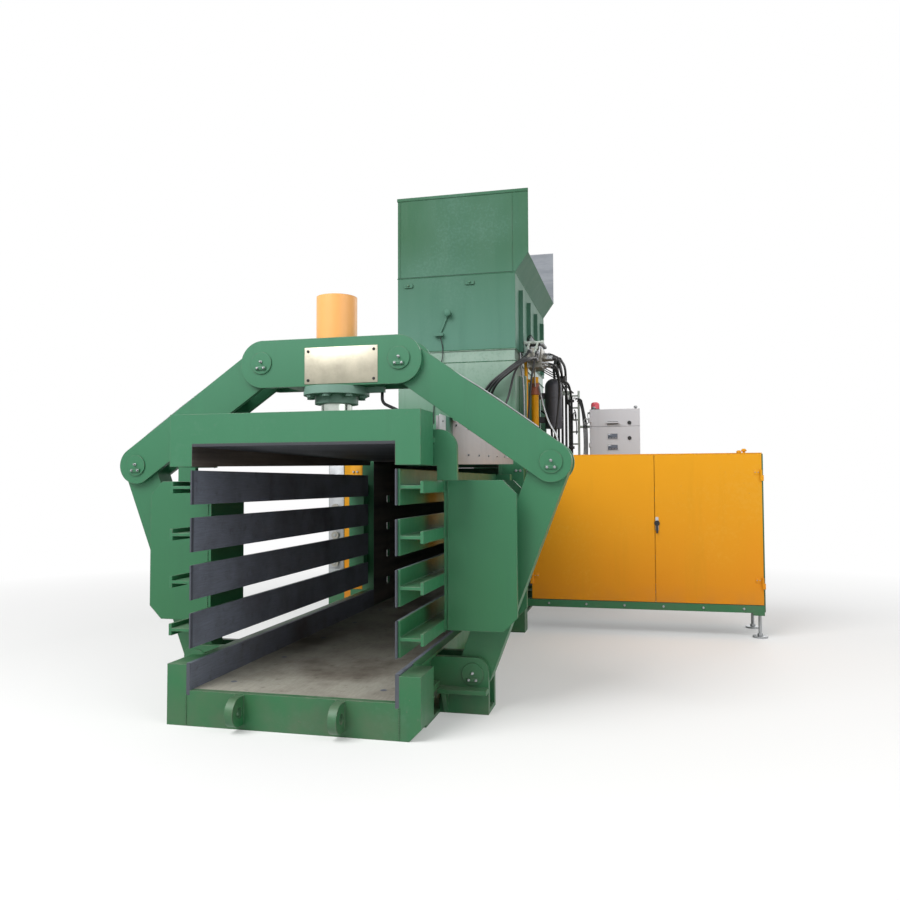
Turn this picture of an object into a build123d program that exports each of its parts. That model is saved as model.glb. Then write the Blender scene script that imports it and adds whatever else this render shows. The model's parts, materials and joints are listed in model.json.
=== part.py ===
from build123d import *

import math
import os

os.makedirs("parts", exist_ok=True)

# Horizontal auto-tie recycling baler, in millimetres.
# +Y runs along the bale chamber from its open front to the main cylinder, +Z is up and +X points
# to the wire tier cabinet. The origin is under the middle of the front sill, on the ground.

# Bale chamber and press body
chamber_width = 1100
chamber_height = 1250
floor_height = 180
floor_plate = 25
wall_plate = 25
wear_liner = 20
door_run = 2860
portal_setback = 50
portal_depth = 160
portal_margin = 105
portal_cap = 60
tier_length = 652
feed_length = 2246
throat_height = 965
ram_housing_length = 2854
crossbeam_depth = 180
running_gap = 0.3
pin_fit = 0.05

# Front sill
sill_depth = 240
sill_side = 130
sill_post_height = 310
sill_front_plate = 40
sill_corner = 60
sill_pocket_height = 110
sill_pocket_rib = 40
lug_offset = 270
lug_thickness = 45
lug_reach = 116
lug_radius = 72
lug_bore = 26
lug_z = 100

# Base frame
skid_width = 160
skid_inset = 90
skid_web = 14
skid_flange = 18
cross_member_count = 7
cross_member_width = 120
curb_height = 318
curb_flange = 50
curb_thickness = 14

# Squeeze linkage, seen across the machine
squeeze_y = 510
base_pin_reach = 272
base_pin_z = 212
knee_reach = 700
knee_drop = 80
head_pin_inset = 135
head_pin_lift = 505
lever_foot_radius = 96
lever_knee_radius = 104
arm_radius = 110
lever_thickness = 130
arm_plate = 30
arm_web_setback = 242
head_plate = 26
linkage_gap = 2
base_pin_radius = 45
knee_pin_radius = 48
head_pin_radius = 50
pin_cap = 6
pin_cap_extra = 14
open_pivot_clearance = 7
bracket_plate = 38
bracket_width = 358
bracket_height = 299
bracket_corner = 70
bracket_rib_height = 118
bracket_rib_depth = 70
bracket_rib = 24

# Crosshead and squeeze cylinder
head_end_inset = 5
head_height = 275
head_pin_rise = 7
head_box_half = 250
head_web = 24
flange_radius = 190
flange_thickness = 46
flange_bolt_circle = 160
flange_bolt_count = 8
flange_bolt_radius = 16
gland_radius = 125
gland_height = 50
barrel_radius = 98
barrel_height = 490
rod_radius = 90
cover_radius = 118
cover_height = 255
cover_wall = 5

# Top platen
platen_beam_height = 170
platen_leg_width = 130
platen_leg_drop = 103
platen_skirt_rise = 66
platen_deck = 25
platen_liner = 15
platen_rib = 24
platen_rib_offset = 300
platen_rib_run = 900
squeeze_beam_half = 400
squeeze_beam_depth = 240
ear_thickness = 30
ear_reach = 118
ear_setback = 30
ear_rise = 86
ear_drop = 178
ear_corner = 100
side_cover_sheet = 12
side_cover_rise = 160
hinge_barrel_radius = 45
hinge_pin_radius = 25
hinge_gap = 1
hinge_lug = 30
platen_hinge_rise = 70
platen_knuckle = 120

# Side doors
slat_count = 4
slat_height = 178
slat_low_gap = 212
slat_top_gap = 122
door_liner = 8
slat_skin = 12
slat_web = 16
slat_reach = 118
slat_flange = 60
slat_front_step = 20
door_end_gap = 100
stile_depth = 90
strongback_depth = 388
strongback_plate = 26
strongback_width = 530
strongback_low_step = 65
strongback_top_step = 55
strongback_chamfer = 75
strongback_rib = 20
pusher_drop = 5
pusher_radius = 42
door_pin_reach = 110
door_knuckle = 140
door_knuckle_low_step = 88
door_knuckle_top_step = 228

# Wire tier
needle_plane = 250
needle_height = 40
needle_thickness = 24
needle_length = 1445
needle_tip_gap = 30
needle_slot_height = 64
needle_slot_width = 80
needle_bevel = 110
carriage_thickness = 150
carriage_plate = 40
rail_radius = 22
rail_setback = 170
rail_low = 300
rail_drop = 250
bush_radius = 42
cabinet_gap = 256
cabinet_length = 1849
cabinet_left_door_width = 1015
cabinet_rise = 38
cabinet_base = 260
cabinet_front_step = -20
cabinet_depth = 560
cabinet_sheet = 5
cabinet_return = 30
base_rail = 60
cabinet_post = 50
door_sheet = 22
door_reveal = 4
hinge_radius = 9
hinge_length = 90
hinge_leaf = 88
hinge_inset = 130
latch_z = 905
latch_radius = 22
latch_spindle = 8
latch_lever = 90
foot_radius = 58
foot_thickness = 14
foot_stud = 12
foot_inset = 58
foot_bracket = 20
tie_front_gap = 160
column_width = 147
column_depth = 330
column_offset = 160
column_rear_width = 150

# Feed throat and hopper
knife_beam_height = 120
knife_beam_depth = 140
blade_height = 60
blade_thickness = 30
throat_plate = 12
ring_height = 118
ring_width = 70
ring_wall = 10
hopper_sheet = 8
hopper_overhang = 5
hopper_box_height = 726
hopper_crown_height = 797
flare_rise = 182
flare_reach = 128
hopper_rib_count = 4
hopper_rib_width = 60
hopper_rib_depth = 38
lift_lug_width = 90
lift_lug_height = 42
lift_lug_thickness = 14
lift_lug_x = (-470, 140)
lift_lug_drop = 75
sensor_x = -71
sensor_drop = 368
sensor_radius = 30
sensor_depth = 46
sensor_rod_radius = 9
sensor_rod_x = -160
sensor_rod_drop = 204

# Main ram and cylinder
ram_side_gap = 3
ram_top_gap = 4
ram_setback = 24
ram_rear_gap = 180
ram_face = 60
ram_wall = 30
cylinder_end_gap = 80
ram_slot_height = 70
ram_slot_depth = 30
ram_eye_half = 110
main_barrel_radius = 160
main_bore_radius = 130
main_gland_length = 90
main_rod_radius = 80
main_piston_length = 60
main_flange_radius = 230
main_flange = 50
barrel_front_gap = 150
window_count = 3
window_height = 760
window_length = 620
window_corner = 90
tie_bar_height = 80
tie_bar_width = 120
tie_bar_count = 3

# Hydraulics on the right of the feed throat
valve_rib_gap = 118
valve_rise = 62
valve_size = (140, 300, 190)
valve_stand = 10
fitting_radius = 17
fitting_length = 42
accumulator_reach = 204
accumulator_drop = 595
accumulator_height = 430
accumulator_radius = 88
clamp_depth = 60
supply_pipe_reach = 115
supply_pipe_rib_gap = 238
supply_pipe_rise = 70
supply_pipe_drop = 95
supply_pipe_radius = 36
drain_pipe_reach = 50
drain_pipe_rib_gaps = (38, 98)
drain_pipe_radius = 14
drain_pipe_drop = 80
hose_radius = 13
manifold_x = 300
manifold_drop = 495
manifold_width = 150
manifold_depth = 70
hose_clamp_height = 46
hose_pitch = 40
front_hose_bow = 90
hose_lead = 150
hose_drop = 60
hose_fall = 240
hose_fan = 8
hose_side_lead = 90
hose_sweep = 330
port_drop = 30
port_rise = 20
port_setback = 60
bend_share = 0.45
squeeze_hose_drop = 70
squeeze_hose_rise = 45
squeeze_hose_overhang = 50
squeeze_hose_radius = 9
port_arm_x = 278
port_arm_half = 15

# Electric cabinet, its stand and the oil tank
control_gap = 550
control_width = 523
control_setback = 1228
control_depth = 350
control_top = 2020
control_sheet = 25
control_seam = 1836
control_reveal = 3
control_wall = 4
meter_inset = 240
meter_width = 112
meter_height = 65
meter_rim = 6
meter_z = (1612, 1731)
lock_inset = 414
lock_radius = 20
lock_spindle = 9
lock_z = (1710, 1872)
handle_z = 1872
handle_length = 120
handle_radius = 8
handle_reach = 40
beacon_inset = 53
beacon_radius = 44
beacon_height = 90
rear_box_width = 420
rear_box_depth = 300
rear_box_top = 1920
ladder_gap = 325
ladder_width = 120
ladder_drop = 167
ladder_rail = 22
rung_pitch = 130
outrigger_height = 100
outrigger_width = 100
conduit_z = 1840
conduit_radius = 13
tank_setback = 402
tank_length = 1500
tank_gap = 90
tank_width = 780
tank_low = 120
tank_height = 820
tank_rib = 30
tank_wall = 12
tank_corner = 40
motor_radius = 150
motor_length = 420
motor_foot = 30
pump_radius = 95
pump_length = 260
filler_radius = 50
filler_height = 70

# Derived stations and levels
half = chamber_width / 2
wall_out = half + wall_plate
roof_z = floor_height + chamber_height
skid_height = floor_height - floor_plate
skid_out = half + skid_inset
sill_half_width = half + sill_side
base_pin_x = half + base_pin_reach
knee_x = half + knee_reach
knee_z = roof_z - knee_drop
head_pin_x = half - head_pin_inset
head_pin_z = roof_z + head_pin_lift
bracket_reach = half + bracket_width
head_half_length = half - head_end_inset
ear_top = roof_z + ear_rise
ear_low = roof_z - ear_drop
side_cover_top = roof_z + side_cover_rise
platen_hinge_z = roof_z + platen_hinge_rise
slat_top = roof_z - slat_top_gap
strongback_reach = half + strongback_width
door_pin_x = half + door_pin_reach
rail_high = roof_z - rail_drop
cabinet_left = half + cabinet_gap
cabinet_top = roof_z + cabinet_rise
slat_low = floor_height + slat_low_gap
slat_pitch = (slat_top - slat_height - slat_low) / (slat_count - 1)
strongback_low = slat_low + strongback_low_step
strongback_high = slat_top - strongback_top_step
door_knuckle_low = slat_low + door_knuckle_low_step
door_knuckle_high = slat_top - door_knuckle_top_step
cabinet_right = cabinet_left + cabinet_length
cabinet_seam = cabinet_left + cabinet_left_door_width
accumulator_x = skid_out + accumulator_reach
supply_pipe_x = wall_out + supply_pipe_reach
drain_pipe_x = wall_out + drain_pipe_reach
supply_pipe_low = roof_z + supply_pipe_rise
drain_pipe_low = roof_z - drain_pipe_drop
control_left = skid_out + control_gap
meter_x = control_left + meter_inset
lock_x = control_left + lock_inset
beacon_x = control_left + beacon_inset
ladder_x = skid_out + ladder_gap
front_y = -sill_depth / 2
hinge_y = front_y + door_run
portal_front = hinge_y + portal_setback
portal_rear = portal_front + portal_depth
feed_front = portal_rear + tier_length
feed_rear = feed_front + feed_length
body_rear = feed_rear + ram_housing_length
beam_rear = body_rear + crossbeam_depth
throat_z = roof_z + throat_height
valve_z = throat_z + valve_rise
accumulator_low = throat_z - accumulator_drop
supply_pipe_high = throat_z - supply_pipe_drop
manifold_z = throat_z - manifold_drop
ladder_top = throat_z - ladder_drop
hopper_low = throat_z + ring_height
hopper_mid = hopper_low + hopper_box_height
sensor_z = hopper_mid - sensor_drop
sensor_rod_z = sensor_z - sensor_rod_drop
hopper_top = hopper_mid + hopper_crown_height
hopper_half = wall_out + hopper_overhang
head_low = head_pin_z - head_height / 2 - head_pin_rise
head_high = head_low + head_height
arm_out = lever_thickness / 2 + linkage_gap + arm_plate
head_out = arm_out + linkage_gap + head_plate
slat_tops = [slat_top - slat_pitch * i for i in range(slat_count)]
needle_levels = [top - slat_height - (slat_pitch - slat_height) / 2 for top in slat_tops]
tier_y = portal_rear + needle_plane
cabinet_front = portal_rear + cabinet_front_step
cabinet_rear = cabinet_front + cabinet_depth
ram_front = feed_rear + ram_setback
ram_length = ram_housing_length - ram_setback - ram_rear_gap
barrel_front = ram_front + ram_face + barrel_front_gap
ram_stroke = (beam_rear - cylinder_end_gap - main_piston_length - main_gland_length
              - barrel_front)
axis_z = floor_height + chamber_height / 2
pusher_z = axis_z - pusher_drop
rib_pitch = feed_length / hopper_rib_count
first_rib_rear = feed_front + (rib_pitch + hopper_rib_width) / 2
valve_y = first_rib_rear + valve_rib_gap
supply_pipe_y = first_rib_rear + supply_pipe_rib_gap
drain_pipe_y = [first_rib_rear + gap for gap in drain_pipe_rib_gaps]
control_front = feed_front + control_setback
tank_front = feed_rear + tank_setback


def across(y):
    """Sketch plane across the machine at station y; a positive extrude runs to the front."""
    return Plane.XZ.offset(-y)


def along(x):
    """Sketch plane along the machine at distance x; a positive extrude runs to +X."""
    return Plane.YZ.offset(x)


def prism(x, y, z, mode=Mode.ADD):
    """Rectangular plate, bar or pocket between (low, high) limits, in the open part."""
    with BuildSketch(Plane.XY.offset(z[0])) as base:
        with Locations(((x[0] + x[1]) / 2, (y[0] + y[1]) / 2)):
            Rectangle(x[1] - x[0], y[1] - y[0])
    extrude(base.sketch, amount=z[1] - z[0], mode=mode)


def rod(plane, centre, radius, length, mode=Mode.ADD):
    """Round bar or hole from a sketch plane, in the open part."""
    with BuildSketch(plane) as section:
        with Locations(centre):
            Circle(radius)
    extrude(section.sketch, amount=length, mode=mode)


def tube_along(points, radius):
    """Hose or pipe of straight runs and tangent arcs through points, in the open part."""
    turns = []
    for before, corner, after in zip(points, points[1:], points[2:]):
        first = Vector(*corner) - Vector(*before)
        second = Vector(*after) - Vector(*corner)
        half_turn = math.radians(first.get_angle(second)) / 2
        turns.append(bend_share * min(first.length, second.length) / math.tan(half_turn))
    with BuildLine() as path:
        FilletPolyline(*points, radius=turns)
    start = Vector(*points[0])
    heading = Vector(*points[1]) - start
    with BuildSketch(Plane(origin=start, z_dir=heading)) as section:
        Circle(radius)
    sweep(section.sketch, path=path.wire())


def mirrored(piece):
    """Left-hand copy of a right-hand piece."""
    with BuildPart() as other:
        mirror(piece.part, about=Plane.YZ)
    return other


def save(piece, label):
    """Label a finished piece and write its STEP file."""
    piece.part.label = label
    export_step(piece.part, f"parts/{label}.step")


def save_group(label, *pieces):
    """Write several pieces of one assembly as separate solids of one node."""
    solids = [solid for piece in pieces for solid in piece.part.solids()]
    export_step(Compound(label=label, children=solids), f"parts/{label}.step")


# Front sill: a beam with pockets underneath, two raised ends and two towing lugs
sill_in = half + wear_liner
with BuildPart() as sill_beam:
    prism((-sill_in, sill_in), (front_y, front_y + sill_depth), (0, skid_height))
    prism((-half, half), (front_y, front_y + sill_front_plate), (skid_height, floor_height))
    pocket = (2 * half - 5 * sill_pocket_rib) / 4
    with BuildSketch(Plane.XY):
        with GridLocations(pocket + sill_pocket_rib, 0, 4, 1):
            Rectangle(pocket, sill_depth - 2 * sill_front_plate)
    extrude(amount=sill_pocket_height, mode=Mode.SUBTRACT)

with BuildPart() as right_sill_end:
    with BuildSketch(across(front_y + sill_depth)):
        Polygon((sill_in, 0), (sill_half_width - sill_corner, 0), (sill_half_width, sill_corner),
                (sill_half_width, sill_post_height), (sill_in, sill_post_height), align=None)
    extrude(amount=sill_depth)

with BuildPart() as left_sill_end:
    prism((-sill_half_width, -sill_in), (front_y, front_y + sill_depth), (0, sill_post_height))

lug_y = front_y - lug_reach + lug_radius
with BuildPart() as right_tow_lug:
    with BuildSketch(along(lug_offset - lug_thickness / 2)):
        with Locations((lug_y, lug_z)):
            Circle(lug_radius)
        with Locations(((front_y + lug_y) / 2, lug_z)):
            Rectangle(front_y - lug_y, 2 * lug_radius)
        with Locations((lug_y, lug_z)):
            Circle(lug_bore, mode=Mode.SUBTRACT)
    extrude(amount=lug_thickness)
    prism((0, half), (front_y, front_y + sill_depth), (0, floor_height), Mode.SUBTRACT)
save_group("front_sill", sill_beam, right_sill_end, left_sill_end, right_tow_lug,
           mirrored(right_tow_lug))

# Base frame: two rolled beams under the chamber walls, cross members and outriggers
with BuildPart() as right_skid:
    with BuildSketch(across(beam_rear)):
        centre = skid_out - skid_width / 2
        with Locations((centre, skid_height / 2)):
            Rectangle(skid_width, skid_height)
        flank = (skid_width - skid_web) / 2
        for face in (-1, 1):
            with Locations((centre + face * (skid_web + flank) / 2, skid_height / 2)):
                Rectangle(flank, skid_height - 2 * skid_flange, mode=Mode.SUBTRACT)
    extrude(amount=beam_rear - front_y - sill_depth)

with BuildPart() as cross_members:
    inner = skid_out - (skid_width + skid_web) / 2
    spacing = (beam_rear - front_y - sill_depth - cross_member_width) / (cross_member_count - 1)
    for i in range(cross_member_count):
        start = front_y + sill_depth + i * spacing
        prism((-inner, inner), (start, start + cross_member_width),
              (skid_flange, skid_height - skid_flange))

with BuildPart() as outriggers:
    for start in (control_front, control_front + control_depth - outrigger_width):
        prism((skid_out, control_left + control_width), (start, start + outrigger_width),
              (0, outrigger_height))
    for start in (tank_front + tank_rib, tank_front + tank_length - outrigger_width):
        prism((skid_out, skid_out + tank_gap + tank_width), (start, start + outrigger_width),
              (0, tank_low))
save_group("base_frame", right_skid, mirrored(right_skid), cross_members, outriggers)

# Floor plate that the bales slide over
with BuildPart() as chamber_floor:
    prism((-half, half), (front_y + sill_front_plate, body_rear), (skid_height, floor_height))
save(chamber_floor, "chamber_floor")

# Low fixed curbs under the side doors, with their wear strips
with BuildPart() as right_curb:
    with BuildSketch(across(portal_front - hinge_gap)):
        Polygon(
            (sill_in, skid_height),
            (skid_out, skid_height),
            (skid_out, skid_height + curb_thickness),
            (sill_in + curb_thickness, skid_height + curb_thickness),
            (sill_in + curb_thickness, curb_height - curb_thickness),
            (sill_in + curb_flange, curb_height - curb_thickness),
            (sill_in + curb_flange, curb_height),
            (sill_in, curb_height),
            align=None,
        )
    extrude(amount=portal_front - hinge_gap - front_y - sill_depth)
save_group("floor_curbs", right_curb, mirrored(right_curb))

with BuildPart() as curb_liners:
    for side in (-1, 1):
        inner_x = side * half
        outer_x = side * sill_in
        prism((min(inner_x, outer_x), max(inner_x, outer_x)),
              (front_y, portal_front - hinge_gap), (skid_height, curb_height))
save(curb_liners, "curb_liners")

# Wing bracket that carries a squeeze lever at its foot
with BuildPart() as right_pivot_bracket:
    plate_in = lever_thickness / 2 + linkage_gap
    for rear in (squeeze_y - plate_in, squeeze_y + plate_in + bracket_plate):
        with BuildSketch(across(rear)) as wing:
            Polygon((skid_out, 0), (bracket_reach, 0), (bracket_reach, bracket_height),
                    (sill_in + curb_thickness, bracket_height),
                    (sill_in + curb_thickness, skid_height + curb_thickness),
                    (skid_out, skid_height + curb_thickness), align=None)
            fillet(wing.vertices().group_by(Axis.Y)[-1].sort_by(Axis.X)[-1], bracket_corner)
            with Locations((base_pin_x, base_pin_z)):
                Circle(base_pin_radius + pin_fit, mode=Mode.SUBTRACT)
        extrude(amount=bracket_plate)
    prism((skid_out, bracket_reach),
          (squeeze_y - plate_in, squeeze_y + plate_in), (0, bracket_rib))
    front_face = squeeze_y - plate_in - bracket_plate
    prism((skid_out, bracket_reach), (front_face - bracket_rib_depth, front_face),
          (bracket_rib_height, bracket_rib_height + bracket_rib))
    with BuildSketch(along(skid_out + bracket_rib)):
        Polygon((front_face, 0), (front_face, bracket_rib_height),
                (front_face - bracket_rib_depth, bracket_rib_height), align=None)
    extrude(amount=bracket_rib)
save_group("pivot_brackets", right_pivot_bracket, mirrored(right_pivot_bracket))


def capped_pin(x, z, radius, reach):
    """Pivot pin along Y about the squeeze plane, with a retaining cap at each end."""
    length = 2 * (reach + linkage_gap / 2)
    rod(across(squeeze_y + length / 2), (x, z), radius, length)
    for rear in (squeeze_y + length / 2 + pin_cap, squeeze_y - length / 2):
        rod(across(rear), (x, z), radius + pin_cap_extra, pin_cap)


# Squeeze lever
with BuildPart() as right_lever:
    with BuildSketch(across(squeeze_y + lever_thickness / 2)):
        with Locations((base_pin_x, base_pin_z)):
            Circle(lever_foot_radius)
        with Locations((knee_x, knee_z)):
            Circle(lever_knee_radius)
        make_hull()
        with Locations((base_pin_x, base_pin_z)):
            Circle(base_pin_radius + pin_fit, mode=Mode.SUBTRACT)
        with Locations((knee_x, knee_z)):
            Circle(knee_pin_radius, mode=Mode.SUBTRACT)
    extrude(amount=lever_thickness)
save(right_lever, "right_lever")
save(mirrored(right_lever), "left_lever")

# Knee pins, one in each lever
with BuildPart() as right_knee_pin:
    capped_pin(knee_x, knee_z, knee_pin_radius, arm_out)
save(right_knee_pin, "right_knee_pin")
save(mirrored(right_knee_pin), "left_knee_pin")

# Diagonal arm: two plates tied by a web, between the crosshead plates and outside the lever
arm_run = math.hypot(knee_x - head_pin_x, head_pin_z - knee_z)
arm_slope = math.degrees(math.atan2(head_pin_z - knee_z, knee_x - head_pin_x))
with BuildPart() as right_arm:
    for rear in (squeeze_y + arm_out, squeeze_y - lever_thickness / 2 - linkage_gap):
        with BuildSketch(across(rear)):
            with Locations((knee_x, knee_z), (head_pin_x, head_pin_z)):
                Circle(arm_radius)
            make_hull()
            with Locations((knee_x, knee_z)):
                Circle(knee_pin_radius + open_pivot_clearance, mode=Mode.SUBTRACT)
            with Locations((head_pin_x, head_pin_z)):
                Circle(head_pin_radius + pin_fit, mode=Mode.SUBTRACT)
        extrude(amount=arm_plate)
    inner_depth = lever_thickness + 2 * linkage_gap
    with BuildSketch(across(squeeze_y + inner_depth / 2)):
        with Locations(((knee_x + head_pin_x) / 2, (knee_z + head_pin_z) / 2)):
            Rectangle(arm_run - 2 * arm_web_setback, arm_plate, rotation=-arm_slope)
    extrude(amount=inner_depth)
save(right_arm, "right_arm")
save(mirrored(right_arm), "left_arm")

# Crosshead: two long rounded plates with a box between them for the squeeze cylinder
with BuildPart() as crosshead:
    for rear in (squeeze_y + head_out, squeeze_y - head_out + head_plate):
        with BuildSketch(across(rear)):
            with Locations((0, (head_low + head_high) / 2)):
                SlotOverall(2 * head_half_length, head_height)
            with Locations((-head_pin_x, head_pin_z), (head_pin_x, head_pin_z)):
                Circle(head_pin_radius, mode=Mode.SUBTRACT)
        extrude(amount=head_plate)
    box_y = (squeeze_y - head_out + head_plate, squeeze_y + head_out - head_plate)
    for side in (-1, 1):
        edge = side * head_box_half
        prism((edge - head_web / 2, edge + head_web / 2), box_y, (head_low, head_high))
    for low in (head_low, head_high - head_web):
        prism((-head_box_half, head_box_half), box_y, (low, low + head_web))
    rod(Plane.XY.offset(head_low), (0, squeeze_y), barrel_radius, head_height, Mode.SUBTRACT)
save(crosshead, "crosshead")

with BuildPart() as crosshead_pins:
    for side in (-1, 1):
        capped_pin(side * head_pin_x, head_pin_z, head_pin_radius, head_out)
save(crosshead_pins, "crosshead_pins")

# Squeeze cylinder: barrel, mounting flange and gland in one, bored for the rod
flange_low = head_low - flange_thickness
gland_low = flange_low - gland_height
with BuildPart() as squeeze_cylinder:
    rod(Plane.XY.offset(gland_low), (0, squeeze_y), gland_radius, gland_height)
    rod(Plane.XY.offset(flange_low), (0, squeeze_y), flange_radius, flange_thickness)
    rod(Plane.XY.offset(head_low), (0, squeeze_y), barrel_radius, barrel_height)
    prism((flange_radius - port_arm_half, port_arm_x + port_arm_half),
          (squeeze_y - port_arm_half, squeeze_y + port_arm_half),
          (flange_low + flange_thickness / 2 - squeeze_hose_radius, head_low - running_gap))
    rod(Plane.XY.offset(gland_low), (0, squeeze_y), rod_radius + pin_fit,
        barrel_height + flange_thickness, Mode.SUBTRACT)
    with BuildSketch(Plane.XY.offset(flange_low)):
        with Locations((0, squeeze_y)):
            with PolarLocations(flange_bolt_circle, flange_bolt_count):
                Circle(flange_bolt_radius)
    extrude(amount=flange_thickness, mode=Mode.SUBTRACT)

with BuildPart() as flange_bolts:
    head_drop = flange_bolt_radius
    with BuildSketch(Plane.XY.offset(flange_low)):
        with Locations((0, squeeze_y)):
            with PolarLocations(flange_bolt_circle, flange_bolt_count):
                Circle(flange_bolt_radius)
    extrude(amount=flange_thickness)
    with BuildSketch(Plane.XY.offset(flange_low - head_drop)):
        with Locations((0, squeeze_y)):
            with PolarLocations(flange_bolt_circle, flange_bolt_count):
                RegularPolygon(1.5 * flange_bolt_radius, 6)
    extrude(amount=head_drop)
save_group("squeeze_cylinder", squeeze_cylinder, flange_bolts)

# Open-bottomed guard over the top of the squeeze cylinder
with BuildPart() as cylinder_cover:
    rod(Plane.XY.offset(head_high), (0, squeeze_y), cover_radius, cover_height)
    rod(Plane.XY.offset(head_high), (0, squeeze_y), cover_radius - cover_wall,
        cover_height - cover_wall, Mode.SUBTRACT)
save(cylinder_cover, "cylinder_cover")

# Top platen: front beam with hanging legs, tapered skirts, ribs and the beam under the rod
deck_low = roof_z + platen_liner
platen_tail = hinge_y - hinge_barrel_radius
beam_top = roof_z + platen_beam_height
leg_low = roof_z - platen_leg_drop
with BuildPart() as top_platen:
    prism((-half - platen_leg_width, half + platen_leg_width), (front_y, platen_tail),
          (deck_low, deck_low + platen_deck))
    prism((-half - platen_leg_width, half + platen_leg_width), (front_y, front_y + sill_depth),
          (deck_low, beam_top))
    prism((-squeeze_beam_half, squeeze_beam_half),
          (squeeze_y - squeeze_beam_depth / 2, squeeze_y + squeeze_beam_depth / 2),
          (deck_low, beam_top))
    for side in (-1, 1):
        leg_x = side * (half + platen_leg_width / 2)
        prism((leg_x - platen_leg_width / 2, leg_x + platen_leg_width / 2),
              (front_y, front_y + sill_depth), (leg_low, deck_low))
        skirt_x = side * (half + platen_rib / 2) - platen_rib / 2
        with BuildSketch(along(skirt_x)):
            Polygon((front_y, leg_low), (platen_tail, leg_low + platen_skirt_rise),
                    (platen_tail, deck_low), (front_y, deck_low), align=None)
        extrude(amount=platen_rib)
        with BuildSketch(along(side * platen_rib_offset - platen_rib / 2)):
            with BuildLine():
                Polyline((front_y, deck_low), (front_y, beam_top), (front_y + platen_rib_run, beam_top),
                         (platen_tail, platen_hinge_z + hinge_barrel_radius),
                         (hinge_y, platen_hinge_z + hinge_barrel_radius))
                CenterArc((hinge_y, platen_hinge_z), hinge_barrel_radius, -90, 180)
                Polyline((hinge_y, platen_hinge_z - hinge_barrel_radius),
                         (platen_tail, platen_hinge_z - hinge_barrel_radius),
                         (platen_tail, deck_low), (front_y, deck_low))
            make_face()
        extrude(amount=platen_rib)
        rod(along(side * platen_rib_offset - platen_knuckle / 2), (hinge_y, platen_hinge_z),
            hinge_barrel_radius, platen_knuckle)
        with BuildSketch(across(front_y + sill_depth + ear_setback + ear_thickness)) as ear:
            ear_in = side * (half + platen_rib)
            ear_foot = side * (half + platen_leg_width + slat_skin + running_gap)
            ear_out = side * (half + platen_leg_width + ear_reach)
            Polygon((ear_in, leg_low), (ear_foot, leg_low), (ear_foot, ear_low),
                    (ear_out, ear_low), (ear_out, ear_top), (ear_in, ear_top), align=None)
            outer = ear.vertices().sort_by(Axis.X)
            outer = outer[-2:] if side > 0 else outer[:2]
            fillet(outer.sort_by(Axis.Y)[-1], ear_corner)
        extrude(amount=ear_thickness)
    rod(along(-sill_half_width), (hinge_y, platen_hinge_z), hinge_pin_radius + pin_fit,
        2 * sill_half_width, Mode.SUBTRACT)
save(top_platen, "top_platen")

# Smooth side plates that close the platen's flanks behind the ears
with BuildPart() as right_side_cover:
    cover_front = front_y + sill_depth + ear_setback + ear_thickness
    skirt_slope = platen_skirt_rise / (platen_tail - front_y)
    with BuildSketch(along(half + platen_leg_width)):
        Polygon((cover_front, leg_low + skirt_slope * (cover_front - front_y)),
                (platen_tail, leg_low + platen_skirt_rise), (platen_tail, side_cover_top),
                (cover_front, side_cover_top), align=None)
    extrude(amount=side_cover_sheet)
save_group("platen_side_covers", right_side_cover, mirrored(right_side_cover))

with BuildPart() as platen_wear_plate:
    prism((-half, half), (front_y, platen_tail), (roof_z, deck_low))
save(platen_wear_plate, "platen_wear_plate")

with BuildPart() as squeeze_rod:
    rod(Plane.XY.offset(beam_top), (0, squeeze_y), rod_radius,
        head_high - beam_top + barrel_radius)
    rod(Plane.XY.offset(beam_top), (0, squeeze_y), rod_radius + head_web, head_web)
save(squeeze_rod, "squeeze_rod")

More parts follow.
